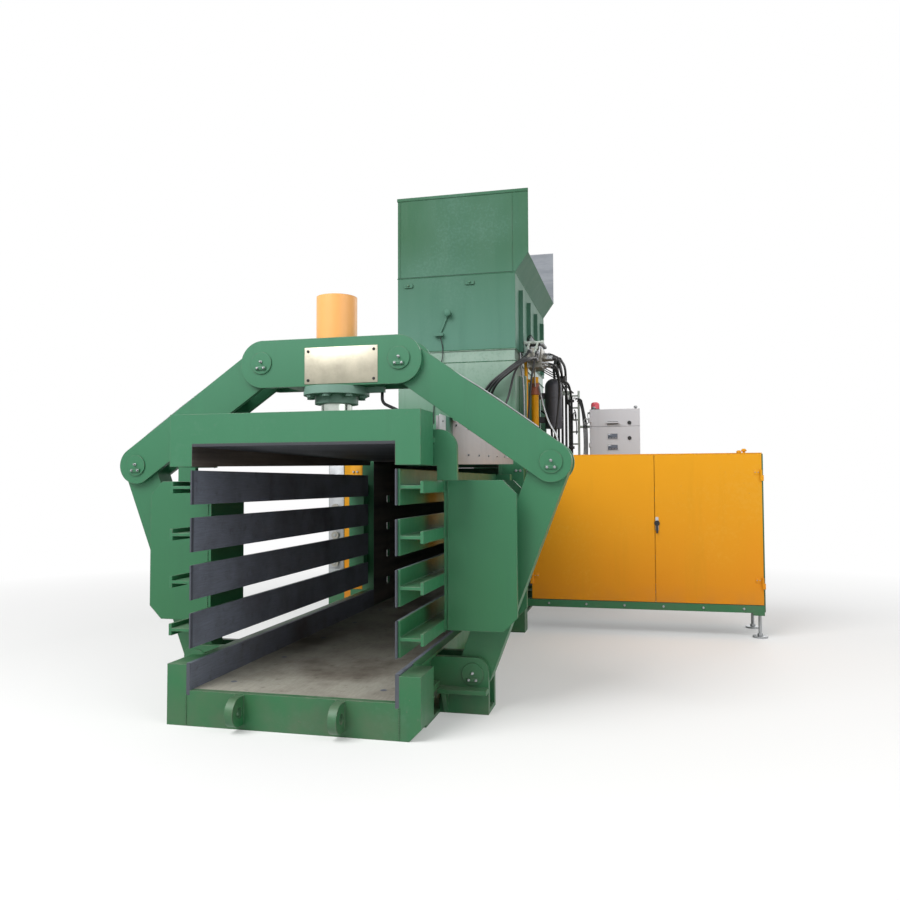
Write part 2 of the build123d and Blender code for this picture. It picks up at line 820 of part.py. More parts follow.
# Side door: slats welded to a strongback that the lever pushes, and a hinge stile behind
slat_in = half + door_liner
slat_out = slat_in + slat_skin + slat_reach
door_rear = hinge_y - door_end_gap
lever_dx = knee_x - base_pin_x
lever_dz = knee_z - base_pin_z
lever_length = math.hypot(lever_dx, lever_dz)
lever_share = (pusher_z - base_pin_z) / lever_dz
lever_half = lever_foot_radius + (lever_knee_radius - lever_foot_radius) * lever_share
pusher_offset = lever_half + pusher_radius + running_gap + 1
pusher_x = base_pin_x + lever_dx * lever_share - pusher_offset * lever_dz / lever_length
pusher_level = pusher_z + pusher_offset * lever_dx / lever_length
strong_y = (squeeze_y - strongback_depth / 2, squeeze_y + strongback_depth / 2)
with BuildPart() as right_side_door:
    for top in slat_tops:
        middle = top - slat_height / 2
        with BuildSketch(across(door_rear)):
            Polygon(
                (slat_in, top - slat_height),
                (slat_in + slat_skin, top - slat_height),
                (slat_in + slat_skin, middle - slat_web / 2),
                (slat_out - slat_web, middle - slat_web / 2),
                (slat_out - slat_web, middle - slat_flange / 2),
                (slat_out, middle - slat_flange / 2),
                (slat_out, middle + slat_flange / 2),
                (slat_out - slat_web, middle + slat_flange / 2),
                (slat_out - slat_web, middle + slat_web / 2),
                (slat_in + slat_skin, middle + slat_web / 2),
                (slat_in + slat_skin, top),
                (slat_in, top),
                align=None,
            )
        extrude(amount=door_rear - front_y - slat_front_step)
    prism((slat_in, slat_out), (door_rear - stile_depth, door_rear),
          (slat_tops[-1] - slat_height, slat_top))
    for rear in (strong_y[0] + strongback_plate, strong_y[1]):
        with BuildSketch(across(rear)) as panel:
            Polygon((slat_out, strongback_low), (strongback_reach, strongback_low),
                    (strongback_reach, strongback_high), (slat_out, strongback_high), align=None)
            chamfer(panel.vertices().sort_by(Axis.X)[-2:], strongback_chamfer)
        extrude(amount=strongback_plate)
    prism((slat_out, slat_out + strongback_rib), strong_y, (strongback_low, strongback_high))
    for low in (strongback_low, strongback_high - strongback_rib):
        prism((slat_out, slat_out + 4 * strongback_rib), strong_y, (low, low + strongback_rib))
    rod(across(strong_y[1]), (pusher_x, pusher_level), pusher_radius, strongback_depth)
    prism((slat_out, pusher_x), strong_y,
          (pusher_level - strongback_rib / 2, pusher_level + strongback_rib / 2))
    for low in (door_knuckle_low, door_knuckle_high):
        with BuildSketch(Plane.XY.offset(low)):
            with Locations((door_pin_x, hinge_y)):
                Circle(hinge_barrel_radius)
            with Locations((door_pin_x, (hinge_y + door_rear) / 2)):
                Rectangle(hinge_barrel_radius, door_end_gap)
            with Locations((door_pin_x, hinge_y)):
                Circle(hinge_pin_radius + pin_fit, mode=Mode.SUBTRACT)
        extrude(amount=door_knuckle)
save(right_side_door, "right_side_door")
save(mirrored(right_side_door), "left_side_door")

with BuildPart() as right_door_liners:
    for top in slat_tops:
        prism((half, slat_in), (front_y, door_rear), (top - slat_height, top))
save(right_door_liners, "right_door_liners")
save(mirrored(right_door_liners), "left_door_liners")

# Hinge portal: posts and top beam that carry both doors and the platen
portal_out = door_pin_x + portal_margin
portal_top = platen_hinge_z + portal_cap
with BuildPart() as hinge_portal:
    with BuildSketch(across(portal_rear)):
        Polygon((-portal_out, 0), (-skid_out, 0), (-skid_out, skid_height),
                (-wall_out, skid_height), (-wall_out, roof_z), (wall_out, roof_z),
                (wall_out, skid_height), (skid_out, skid_height), (skid_out, 0),
                (portal_out, 0), (portal_out, portal_top), (-portal_out, portal_top), align=None)
    extrude(amount=portal_depth)
    prism((-wall_out, wall_out), (portal_rear, feed_front), (roof_z, roof_z + floor_plate))
    for side in (-1, 1):
        for low in (door_knuckle_low, door_knuckle_high):
            for bottom in (low - hinge_gap - hinge_lug, low + door_knuckle + hinge_gap):
                with BuildSketch(Plane.XY.offset(bottom)):
                    with Locations((side * door_pin_x, hinge_y)):
                        Circle(hinge_barrel_radius)
                    with Locations((side * door_pin_x, (hinge_y + portal_front) / 2)):
                        Rectangle(2 * hinge_barrel_radius, portal_setback)
                    with Locations((side * door_pin_x, hinge_y)):
                        Circle(hinge_pin_radius, mode=Mode.SUBTRACT)
                extrude(amount=hinge_lug)
        for face in (-1, 1):
            offset_x = side * platen_rib_offset + face * (platen_knuckle + hinge_lug + 2) / 2
            with BuildSketch(along(offset_x - hinge_lug / 2)):
                with Locations((hinge_y, platen_hinge_z)):
                    Circle(hinge_barrel_radius)
                with Locations(((hinge_y + portal_front) / 2, platen_hinge_z)):
                    Rectangle(portal_setback, 2 * hinge_barrel_radius)
                with Locations((hinge_y, platen_hinge_z)):
                    Circle(hinge_pin_radius, mode=Mode.SUBTRACT)
            extrude(amount=hinge_lug)
save(hinge_portal, "hinge_portal")

# Pins held by the frame: lever feet, door hinges and platen hinge
with BuildPart() as frame_pins:
    pin_low = door_knuckle_low - hinge_gap - hinge_lug
    pin_high = door_knuckle_high + door_knuckle + hinge_gap + hinge_lug
    for side in (-1, 1):
        rod(Plane.XY.offset(pin_low), (side * door_pin_x, hinge_y), hinge_pin_radius,
            pin_high - pin_low)
        rod(Plane.XY.offset(pin_high), (side * door_pin_x, hinge_y), hinge_pin_radius + pin_cap,
            pin_cap)
        reach = platen_knuckle / 2 + hinge_lug + 1
        rod(along(side * platen_rib_offset - reach), (hinge_y, platen_hinge_z), hinge_pin_radius,
            2 * reach)
        capped_pin(side * base_pin_x, base_pin_z, base_pin_radius,
                   lever_thickness / 2 + linkage_gap + bracket_plate)
save(frame_pins, "frame_pins")

# Body wall: a front plate with needle slots, the raised throat and windows beside the ram
with BuildPart() as front_wall:
    with BuildSketch(along(half)):
        Polygon((portal_front, skid_height), (feed_front, skid_height), (feed_front, roof_z),
                (portal_front, roof_z), align=None)
        with Locations(*[(tier_y, level) for level in needle_levels]):
            Rectangle(needle_slot_width, needle_slot_height, mode=Mode.SUBTRACT)
    extrude(amount=wall_plate)

with BuildPart() as throat_wall:
    prism((half, wall_out), (feed_front, feed_rear), (skid_height, throat_z))
    for i in range(hopper_rib_count):
        rib_y = feed_front + (i + 0.5) * rib_pitch
        prism((wall_out, skid_out), (rib_y - hopper_rib_width / 2, rib_y + hopper_rib_width / 2),
              (skid_height, throat_z - ring_height))

with BuildPart() as ram_wall_plate:
    with BuildSketch(along(half)):
        Polygon((feed_rear, skid_height), (body_rear, skid_height), (body_rear, roof_z),
                (feed_rear, roof_z), align=None)
        with Locations(((feed_rear + body_rear) / 2, axis_z)):
            with GridLocations(ram_housing_length / window_count, 0, window_count, 1):
                RectangleRounded(window_length, window_height, window_corner, mode=Mode.SUBTRACT)
    extrude(amount=wall_plate)
wall_pieces = (front_wall, throat_wall, ram_wall_plate)
save_group("body_walls", *wall_pieces, *[mirrored(piece) for piece in wall_pieces])

# Throat end plates, the knife beam and its blade
with BuildPart() as throat_plates:
    prism((-half, half), (feed_front, feed_front + throat_plate), (roof_z, throat_z))
    prism((-half, half), (feed_front + throat_plate, feed_front + throat_plate + knife_beam_depth),
          (roof_z, roof_z + knife_beam_height))
    prism((manifold_x - manifold_width / 2, manifold_x + manifold_width / 2),
          (feed_front - manifold_depth, feed_front),
          (manifold_z - manifold_depth / 2, manifold_z + manifold_depth / 2))
    prism((-half, half), (feed_rear - throat_plate, feed_rear), (roof_z, throat_z))

with BuildPart() as shear_blade:
    blade_y = feed_front + throat_plate + knife_beam_depth
    with BuildSketch(along(-half)) as blade_section:
        Polygon((blade_y, roof_z), (blade_y + blade_thickness, roof_z),
                (blade_y + blade_thickness, roof_z + blade_height),
                (blade_y, roof_z + blade_height), align=None)
        chamfer(blade_section.vertices().sort_by(Axis.X)[-2:].sort_by(Axis.Y)[-1:],
                blade_thickness / 2)
    extrude(amount=chamber_width)
save_group("throat_plates", throat_plates, shear_blade)

# Hopper: base ring, box with side ribs, tall end plates, a tall back plate and the right flare
with BuildPart() as hopper_ring:
    with BuildSketch(Plane.XY.offset(throat_z)):
        with Locations((0, (feed_front + feed_rear) / 2)):
            Rectangle(2 * hopper_half, feed_length)
            Rectangle(2 * (hopper_half - ring_width), feed_length - 2 * ring_width,
                      mode=Mode.SUBTRACT)
    extrude(amount=ring_height)
    with BuildSketch(Plane.XY.offset(throat_z + ring_wall)):
        with Locations((0, (feed_front + feed_rear) / 2)):
            Rectangle(2 * hopper_half, feed_length)
            Rectangle(2 * (hopper_half - ring_wall), feed_length - 2 * ring_wall,
                      mode=Mode.SUBTRACT)
    extrude(amount=ring_height - 2 * ring_wall, mode=Mode.SUBTRACT)
    with BuildSketch(Plane.XY.offset(throat_z)):
        with Locations((0, (feed_front + feed_rear) / 2)):
            Rectangle(2 * (hopper_half - ring_wall), feed_length - 2 * ring_wall)
            Rectangle(2 * (hopper_half - 2 * ring_wall), feed_length - 4 * ring_wall,
                      mode=Mode.SUBTRACT)
    extrude(amount=ring_height)
save(hopper_ring, "hopper_ring")

with BuildPart() as hopper_box:
    with BuildSketch(Plane.XY.offset(hopper_low)):
        with Locations((0, (feed_front + feed_rear) / 2)):
            Rectangle(2 * hopper_half, feed_length)
            Rectangle(2 * (hopper_half - hopper_sheet), feed_length - 2 * hopper_sheet,
                      mode=Mode.SUBTRACT)
    extrude(amount=hopper_box_height)
    for side in (-1, 1):
        for i in range(hopper_rib_count):
            rib_y = feed_front + (i + 0.5) * rib_pitch
            near = side * hopper_half
            far = side * (hopper_half + hopper_rib_depth)
            prism((min(near, far), max(near, far)),
                  (rib_y - hopper_rib_width / 2, rib_y + hopper_rib_width / 2),
                  (hopper_low, hopper_mid - 2 * hopper_rib_width))
    for lug_x in lift_lug_x:
        with BuildSketch(across(feed_front)):
            with Locations((lug_x, hopper_mid - lift_lug_drop)):
                RectangleRounded(lift_lug_width, lift_lug_height, lift_lug_height / 3)
        extrude(amount=lift_lug_thickness)
save(hopper_box, "hopper_box")


with BuildPart() as hopper_crown:
    for rear in (feed_front + hopper_sheet, feed_rear):
        with BuildSketch(across(rear)):
            Polygon((-hopper_half, hopper_mid), (hopper_half, hopper_mid),
                    (hopper_half + flare_reach, hopper_mid + flare_rise),
                    (hopper_half + flare_reach, hopper_top), (-hopper_half, hopper_top),
                    align=None)
        extrude(amount=hopper_sheet)
    prism((-hopper_half, -hopper_half + hopper_sheet), (feed_front, feed_rear),
          (hopper_mid, hopper_top))
    with BuildSketch(across(feed_rear)):
        Polygon((hopper_half - hopper_sheet, hopper_mid), (hopper_half, hopper_mid),
                (hopper_half + flare_reach, hopper_mid + flare_rise),
                (hopper_half + flare_reach - hopper_sheet, hopper_mid + flare_rise), align=None)
    extrude(amount=feed_length)
save(hopper_crown, "hopper_crown")

# Fill level paddle switch on the hopper's front
with BuildPart() as level_switch:
    rod(across(feed_front), (sensor_x, sensor_z), sensor_radius, sensor_depth)
    lean = math.degrees(math.atan2(sensor_x - sensor_rod_x, sensor_z - sensor_rod_z))
    with BuildSketch(across(feed_front)):
        with Locations(((sensor_x + sensor_rod_x) / 2, (sensor_z + sensor_rod_z) / 2)):
            SlotOverall(math.hypot(sensor_x - sensor_rod_x, sensor_z - sensor_rod_z),
                        2 * sensor_rod_radius, rotation=90 - lean)
    extrude(amount=2 * sensor_rod_radius)
    with BuildSketch(across(feed_front)):
        with Locations((sensor_rod_x, sensor_rod_z)):
            RectangleRounded(3 * sensor_radius, sensor_radius, sensor_rod_radius)
    extrude(amount=sensor_depth)
save(level_switch, "level_switch")

# Rear crossbeam and the main cylinder that passes through it
with BuildPart() as rear_frame:
    with BuildSketch(across(beam_rear)):
        with Locations((0, (skid_height + roof_z) / 2)):
            Rectangle(2 * skid_out, roof_z - skid_height)
        with Locations((0, axis_z)):
            Circle(main_barrel_radius, mode=Mode.SUBTRACT)
    extrude(amount=crossbeam_depth)
    tie_pitch = (ram_housing_length - tie_bar_width) / (tie_bar_count - 1)
    for i in range(tie_bar_count):
        bar_y = feed_rear + i * tie_pitch
        prism((-wall_out, wall_out), (bar_y, bar_y + tie_bar_width),
              (roof_z, roof_z + tie_bar_height))
save(rear_frame, "rear_frame")

with BuildPart() as main_cylinder:
    barrel_length = beam_rear - barrel_front
    rod(across(beam_rear), (0, axis_z), main_barrel_radius, barrel_length)
    rod(across(beam_rear), (0, axis_z), main_bore_radius, barrel_length - main_gland_length,
        Mode.SUBTRACT)
    rod(across(barrel_front + main_gland_length), (0, axis_z), main_rod_radius + pin_fit,
        main_gland_length, Mode.SUBTRACT)
    rod(across(beam_rear + main_flange), (0, axis_z), main_flange_radius, main_flange)
save(main_cylinder, "main_cylinder")

# Ram: face with needle grooves, box body around the cylinder, rod and piston
ram_half = half - ram_side_gap
ram_low = floor_height + running_gap
ram_high = roof_z - ram_top_gap
with BuildPart() as main_ram:
    prism((-ram_half, ram_half), (ram_front, ram_front + ram_length), (ram_low, ram_high))
    prism((-ram_half + ram_wall, ram_half - ram_wall),
          (ram_front + ram_face, ram_front + ram_length),
          (ram_low + ram_wall, ram_high - ram_wall), Mode.SUBTRACT)
    for level in needle_levels:
        prism((-ram_half, ram_half), (ram_front, ram_front + ram_slot_depth),
              (level - ram_slot_height / 2, level + ram_slot_height / 2), Mode.SUBTRACT)
    prism((-ram_eye_half, ram_eye_half),
          (ram_front + ram_face, ram_front + ram_face + ram_eye_half / 2),
          (axis_z - ram_eye_half, axis_z + ram_eye_half))
save(main_ram, "main_ram")

with BuildPart() as main_rod:
    rod_start = ram_front + ram_face + ram_eye_half / 2
    rod_end = barrel_front + main_gland_length + ram_stroke + main_piston_length
    rod(across(rod_end), (0, axis_z), main_rod_radius, rod_end - rod_start)
    rod(across(rod_end), (0, axis_z), main_bore_radius - pin_fit, main_piston_length)
save(main_rod, "main_rod")

# Tier cabinet: base frame with posts, sheet shell and the two doors
post_x = (cabinet_left + cabinet_sheet, cabinet_right - cabinet_sheet)
with BuildPart() as cabinet_frame:
    for low_y in (cabinet_front, cabinet_rear - base_rail):
        prism((wall_out if low_y > portal_rear else portal_out, cabinet_right),
              (low_y, low_y + base_rail), (cabinet_base - base_rail, cabinet_base))
    for low_x in (cabinet_left, cabinet_right - base_rail):
        prism((low_x, low_x + base_rail), (cabinet_front, cabinet_rear),
              (cabinet_base - base_rail, cabinet_base))
    for low_x in (post_x[0], post_x[1] - cabinet_post):
        prism((low_x, low_x + cabinet_post),
              (tier_y + rail_setback - cabinet_post / 2, tier_y + rail_setback + cabinet_post / 2),
              (cabinet_base, cabinet_top - cabinet_sheet))
        for level in (rail_low, rail_high):
            rod(along(low_x), (tier_y + rail_setback, level), rail_radius, cabinet_post,
                Mode.SUBTRACT)
    for foot_y in (cabinet_front + foot_inset, cabinet_rear - foot_inset):
        foot_x = cabinet_right - base_rail / 2
        prism((foot_x - foot_radius, cabinet_right), (foot_y - foot_radius, foot_y + foot_radius),
              (cabinet_base - base_rail - foot_bracket, cabinet_base - base_rail))
        rod(Plane.XY.offset(cabinet_base - base_rail - foot_bracket), (foot_x, foot_y),
            foot_stud + pin_fit, base_rail + foot_bracket, Mode.SUBTRACT)
save(cabinet_frame, "cabinet_frame")

def cabinet_panel(low_x, high_x):
    """Folded door panel with a return flange around its inside."""
    door_y = (cabinet_front, cabinet_front + door_sheet)
    door_z = (cabinet_base + door_reveal, cabinet_top - door_reveal)
    prism((low_x, high_x), door_y, door_z)
    prism((low_x + cabinet_return, high_x - cabinet_return),
          (cabinet_front + cabinet_sheet, cabinet_front + door_sheet),
          (door_z[0] + cabinet_return, door_z[1] - cabinet_return), Mode.SUBTRACT)


def door_barrels(pin_x, front, levels, upper):
    """Hinge barrel halves before a door's front face: the door's upper or the lower halves."""
    for low in levels:
        start = low + (hinge_length / 2 if upper else 0)
        rod(Plane.XY.offset(start), (pin_x, front - hinge_radius), hinge_radius,
            hinge_length / 2 - running_gap)


def hinge_leaves(edge_x, side, front, levels):
    """Lower barrel halves with the leaves that wrap round a cabinet's edge."""
    pin_x = edge_x - side * hinge_radius
    outer_x = edge_x + side * hinge_radius
    door_barrels(pin_x, front, levels, False)
    for low in levels:
        leaf = (low, low + hinge_length / 2 - running_gap)
        prism((min(edge_x, outer_x), max(edge_x, outer_x)),
              (front - hinge_radius, front + hinge_leaf), leaf)
        prism((min(pin_x, outer_x), max(pin_x, outer_x)),
              (front - 2 * hinge_radius, front - hinge_radius), leaf)


door_left_pin = cabinet_left + hinge_radius
door_right_pin = cabinet_right - hinge_radius
hinge_levels = (cabinet_base + hinge_inset, cabinet_top - hinge_inset - hinge_length)

with BuildPart() as cabinet_shell:
    prism((cabinet_left, cabinet_right), (cabinet_front + door_sheet + door_reveal, cabinet_rear),
          (cabinet_base, cabinet_top))
    prism((cabinet_left + cabinet_sheet, cabinet_right - cabinet_sheet),
          (cabinet_front, cabinet_rear - cabinet_sheet),
          (cabinet_base, cabinet_top - cabinet_sheet), Mode.SUBTRACT)
    prism((cabinet_left, cabinet_left + cabinet_sheet),
          (tier_y - needle_slot_width, tier_y + needle_slot_width),
          (cabinet_base, cabinet_top - 2 * base_rail), Mode.SUBTRACT)
    hinge_leaves(cabinet_left, -1, cabinet_front, hinge_levels)
    hinge_leaves(cabinet_right, 1, cabinet_front, hinge_levels)
save(cabinet_shell, "cabinet_shell")

with BuildPart() as cabinet_left_door:
    cabinet_panel(cabinet_left + door_reveal, cabinet_seam - door_reveal / 2)
    door_barrels(door_left_pin, cabinet_front, hinge_levels, True)
save(cabinet_left_door, "cabinet_left_door")

with BuildPart() as cabinet_right_door:
    cabinet_panel(cabinet_seam + door_reveal / 2, cabinet_right - door_reveal)
    door_barrels(door_right_pin, cabinet_front, hinge_levels, True)
    latch_x = cabinet_seam + door_reveal / 2 + cabinet_return / 2
    rod(across(cabinet_front + door_sheet), (latch_x, latch_z), latch_spindle + pin_fit,
        door_sheet, Mode.SUBTRACT)
save(cabinet_right_door, "cabinet_right_door")

with BuildPart() as cabinet_latch:
    rod(across(cabinet_front + door_sheet), (latch_x, latch_z), latch_spindle, door_sheet)
    rod(across(cabinet_front), (latch_x, latch_z), latch_radius, latch_spindle)
    with BuildSketch(across(cabinet_front - latch_spindle)):
        with Locations((latch_x, latch_z - latch_lever / 2 + latch_spindle)):
            SlotOverall(latch_lever, 2 * latch_spindle, rotation=90)
    extrude(amount=latch_spindle)
save(cabinet_latch, "cabinet_latch")


def levelling_foot(foot_y):
    """Swivel foot with its threaded stud."""
    foot_x = cabinet_right - base_rail / 2
    rod(Plane.XY, (foot_x, foot_y), foot_radius, foot_thickness)
    rod(Plane.XY.offset(foot_thickness), (foot_x, foot_y), foot_stud,
        cabinet_base - foot_thickness - foot_bracket)


with BuildPart() as front_levelling_foot:
    levelling_foot(cabinet_front + foot_inset)
save(front_levelling_foot, "front_levelling_foot")

with BuildPart() as rear_levelling_foot:
    levelling_foot(cabinet_rear - foot_inset)
save(rear_levelling_foot, "rear_levelling_foot")

# Needle carriage on two round rails
needle_tip = wall_out + needle_tip_gap
carriage_x = needle_tip + needle_length
with BuildPart() as carriage_rails:
    for level in (rail_low, rail_high):
        rod(along(post_x[0]), (tier_y + rail_setback, level), rail_radius, post_x[1] - post_x[0])
save(carriage_rails, "carriage_rails")

with BuildPart() as needle_carriage:
    prism((carriage_x, carriage_x + carriage_plate),
          (tier_y - needle_height, tier_y + rail_setback + bush_radius),
          (rail_low - bush_radius, rail_high + bush_radius))
    for level in (rail_low, rail_high):
        rod(along(carriage_x), (tier_y + rail_setback, level), bush_radius, carriage_thickness)
        rod(along(carriage_x), (tier_y + rail_setback, level), rail_radius + pin_fit,
            carriage_thickness, Mode.SUBTRACT)

with BuildPart() as needles:
    for level in needle_levels:
        with BuildSketch(across(tier_y + needle_thickness / 2)):
            Polygon((needle_tip, level), (needle_tip + needle_bevel, level - needle_height / 2),
                    (carriage_x, level - needle_height / 2),
                    (carriage_x, level + needle_height / 2),
                    (needle_tip, level + needle_height / 2), align=None)
            with Locations((needle_tip + needle_bevel / 2, level + needle_height / 5)):
                Circle(needle_height / 8, mode=Mode.SUBTRACT)
        extrude(amount=needle_thickness)
save_group("needle_carriage", needle_carriage, needles)

# Twister side on the left: a column bracket on the wall and a tall sheet cover
with BuildPart() as tie_bracket:
    prism((-wall_out - column_offset, -wall_out), (portal_rear, portal_rear + tie_front_gap),
          (skid_height, roof_z))

with BuildPart() as rear_column:
    prism((-wall_out - column_offset - column_width - column_rear_width,
           -wall_out - column_offset - column_width),
          (portal_rear, portal_rear + column_depth), (0, roof_z))

with BuildPart() as column_foot:
    prism((-wall_out - column_offset - column_width - column_rear_width, -skid_out),
          (portal_rear + column_depth, portal_rear + column_depth + base_rail),
          (0, skid_height))
save_group("twister_frame", tie_bracket, rear_column, column_foot)

with BuildPart() as twister_cover:
    with BuildSketch(Plane.XY.offset(skid_height)):
        with Locations((-wall_out - column_offset - column_width / 2,
                        portal_rear + column_depth / 2)):
            Rectangle(column_width, column_depth)
            Rectangle(column_width - 2 * cabinet_sheet, column_depth - 2 * cabinet_sheet,
                      mode=Mode.SUBTRACT)
    extrude(amount=chamber_height)
    prism((-wall_out - column_offset - column_width, -wall_out - column_offset),
          (portal_rear, portal_rear + column_depth), (roof_z, roof_z + cabinet_sheet))
save(twister_cover, "twister_cover")


def fitting(plane, centre):
    """Hose fitting: a collar and a hexagon nut standing on a block's face."""
    rod(plane, centre, fitting_radius, fitting_length)
    with BuildSketch(plane) as nut:
        with Locations(centre):
            RegularPolygon(1.35 * fitting_radius, 6)
    extrude(nut.sketch, amount=fitting_length / 2)


# Hydraulics: fittings stand on the valve block where hoses leave it
valve_x = skid_out + valve_stand
front_ports = [(valve_x + port_rise + i * hose_pitch, valve_z - port_drop) for i in range(3)]
side_ports = [(valve_y - port_setback + i * hose_pitch, valve_z + port_rise * (i % 2))
              for i in range(4)]
valve_front = valve_y - valve_size[1] / 2
valve_side = valve_x + valve_size[0]
with BuildPart() as valve_block:
    prism((valve_x, valve_side), (valve_front, valve_front + valve_size[1]),
          (valve_z - valve_size[2] / 2, valve_z + valve_size[2] / 2))
    prism((hopper_half, valve_x), (valve_y - valve_size[1] / 3, valve_y + valve_size[1] / 3),
          (valve_z - 2 * valve_stand, valve_z + 2 * valve_stand))
    for port in front_ports:
        fitting(across(valve_front), port)
    for port in side_ports:
        fitting(along(valve_side), port)
save(valve_block, "valve_block")

# Pressure accumulator, strapped to the body wall
accumulator_high = accumulator_low + accumulator_height
accumulator_y = feed_front + 1.5 * rib_pitch
accumulator_plane = Plane(origin=(accumulator_x, accumulator_y, 0), x_dir=(1, 0, 0),
                          z_dir=(0, -1, 0))
with BuildPart() as accumulator:
    with BuildSketch(accumulator_plane):
        with BuildLine():
            Polyline((0, accumulator_low), (accumulator_radius, accumulator_low),
                     (accumulator_radius, accumulator_high))
            CenterArc((0, accumulator_high), accumulator_radius, 0, 90)
            Line((0, accumulator_high + accumulator_radius), (0, accumulator_low))
        make_face()
    revolve(axis=Axis((accumulator_x, accumulator_y, 0), (0, 0, 1)))
    for low in (accumulator_low + clamp_depth, accumulator_high - 2 * clamp_depth):
        with BuildSketch(Plane.XY.offset(low)):
            with Locations(((skid_out + accumulator_x) / 2, accumulator_y)):
                Rectangle(accumulator_x - skid_out, clamp_depth)
            with Locations((accumulator_x, accumulator_y)):
                Circle(accumulator_radius + control_wall)
        extrude(amount=clamp_depth)
save(accumulator, "accumulator")

# Filling pipe and two drain pipes, elbowed into the body wall
with BuildPart() as supply_pipes:
    rod(Plane.XY.offset(supply_pipe_low), (supply_pipe_x, supply_pipe_y), supply_pipe_radius,
        supply_pipe_high - supply_pipe_low)
    for level in (supply_pipe_low + supply_pipe_radius, supply_pipe_high - supply_pipe_radius):
        rod(along(wall_out), (supply_pipe_y, level), supply_pipe_radius / 2,
            supply_pipe_x - wall_out)
    for pipe_y in drain_pipe_y:
        rod(Plane.XY.offset(drain_pipe_low), (drain_pipe_x, pipe_y), drain_pipe_radius,
            valve_z - 2 * valve_stand - drain_pipe_low)
        rod(along(wall_out), (pipe_y, drain_pipe_low + drain_pipe_radius),
            drain_pipe_radius, drain_pipe_x - wall_out)
save(supply_pipes, "supply_pipes")

# Hoses: three over the front corner to the manifold, four down the ladder to the oil tank
ladder_front = control_front - ladder_rail
hose_x = [ladder_x - hose_pitch * (i + 0.6) for i in range(4)]
hose_level = tank_low + tank_height * 0.55
with BuildPart() as hydraulic_hoses:
    for i, (port_x, port_z) in enumerate(front_ports):
        end_x = manifold_x + (i - 1) * hose_pitch
        end_y = feed_front - manifold_depth / 2
        end_z = manifold_z + manifold_depth / 2
        bow = front_hose_bow + i * hose_pitch
        tube_along(
            [
                (port_x, valve_front - fitting_length, port_z),
                (port_x, valve_front - fitting_length - hose_lead, port_z),
                (port_x - hose_drop, feed_front - bow, port_z - hose_drop),
                (end_x + hose_side_lead, feed_front - bow, end_z + hose_fall),
                (end_x, end_y, end_z + hose_fall / 2),
                (end_x, end_y, end_z),
            ],
            hose_radius,
        )
    for i, (port_y, port_z) in enumerate(side_ports):
        start_x = valve_side + fitting_length
        tube_along(
            [
                (start_x, port_y, port_z),
                (start_x + hose_side_lead + hose_fan * i, port_y, port_z),
                (hose_x[3 - i] + port_rise, control_front - hose_sweep, port_z - port_drop),
                (hose_x[3 - i], ladder_front, ladder_top + hose_lead),
                (hose_x[3 - i], ladder_front, hose_level),
                (hose_x[3 - i], tank_front, hose_level),
            ],
            hose_radius,
        )
save(hydraulic_hoses, "hydraulic_hoses")

# Short hose between the squeeze cylinder's port arm and the platen
port_arm_z = flange_low + flange_thickness / 2
with BuildPart() as squeeze_hose:
    tube_along(
        [
            (port_arm_x, squeeze_y, port_arm_z - squeeze_hose_radius),
            (port_arm_x, squeeze_y, port_arm_z - squeeze_hose_drop),
            (squeeze_beam_half - squeeze_hose_radius, squeeze_y, beam_top + squeeze_hose_rise),
            (squeeze_beam_half + squeeze_hose_overhang, squeeze_y, beam_top - port_arm_half),
            (squeeze_beam_half + squeeze_hose_overhang, squeeze_y, deck_low + platen_deck),
        ],
        squeeze_hose_radius,
    )
save(squeeze_hose, "squeeze_hose")

# Cable ladder with a hose clamp and a conduit to the electric cabinet
with BuildPart() as cable_ladder:
    ladder_y = (control_front - ladder_rail / 2, control_front + ladder_rail * 1.5)
    for low_x in (ladder_x, ladder_x + ladder_width - ladder_rail):
        prism((low_x, low_x + ladder_rail), ladder_y, (outrigger_height, ladder_top))
    rung_count = int((ladder_top - outrigger_height) / rung_pitch)
    for i in range(rung_count):
        rod(along(ladder_x + ladder_rail / 2),
            ((ladder_y[0] + ladder_y[1]) / 2, ladder_top - rung_pitch * (i + 0.4)),
            ladder_rail / 2.5, ladder_width - ladder_rail)
    prism((hose_x[3] - hose_pitch, ladder_x),
          (ladder_front - hose_clamp_height / 2, ladder_front + hose_clamp_height / 2),
          (ladder_top - hose_clamp_height, ladder_top))
    for centre_x in hose_x:
        rod(Plane.XY.offset(ladder_top - hose_clamp_height), (centre_x, ladder_front),
            hose_radius + running_gap, hose_clamp_height, Mode.SUBTRACT)
    rod(along(ladder_x + ladder_width - ladder_rail), (ladder_y[1] - conduit_radius, conduit_z),
        conduit_radius, control_left - ladder_x - ladder_width + ladder_rail)
save(cable_ladder, "cable_ladder")

# Electric cabinet: open-fronted shell with a shelf, and a closed enclosure behind it
control_right = control_left + control_width
control_rear = control_front + control_depth
control_hinge_front = control_front - control_sheet
upper_hinges = [(control_seam + control_top - hinge_length) / 2]
lower_hinges = (outrigger_height + hinge_inset, control_seam - hinge_inset - hinge_length)
control_pin_x = control_left + hinge_radius
with BuildPart() as control_cabinet:
    prism((control_left, control_right), (control_front + control_reveal, control_rear),
          (outrigger_height, control_top))
    for low, high in ((outrigger_height + control_wall, control_seam - control_wall / 2),
                      (control_seam + control_wall / 2, control_top - control_wall)):
        prism((control_left + control_wall, control_right - control_wall),
              (control_front, control_rear - control_wall), (low, high), Mode.SUBTRACT)
    prism((control_right - rear_box_width, control_right),
          (control_rear, control_rear + rear_box_depth), (outrigger_height, rear_box_top))
    hinge_leaves(control_left, -1, control_hinge_front, (*upper_hinges, *lower_hinges))
save(control_cabinet, "control_cabinet")


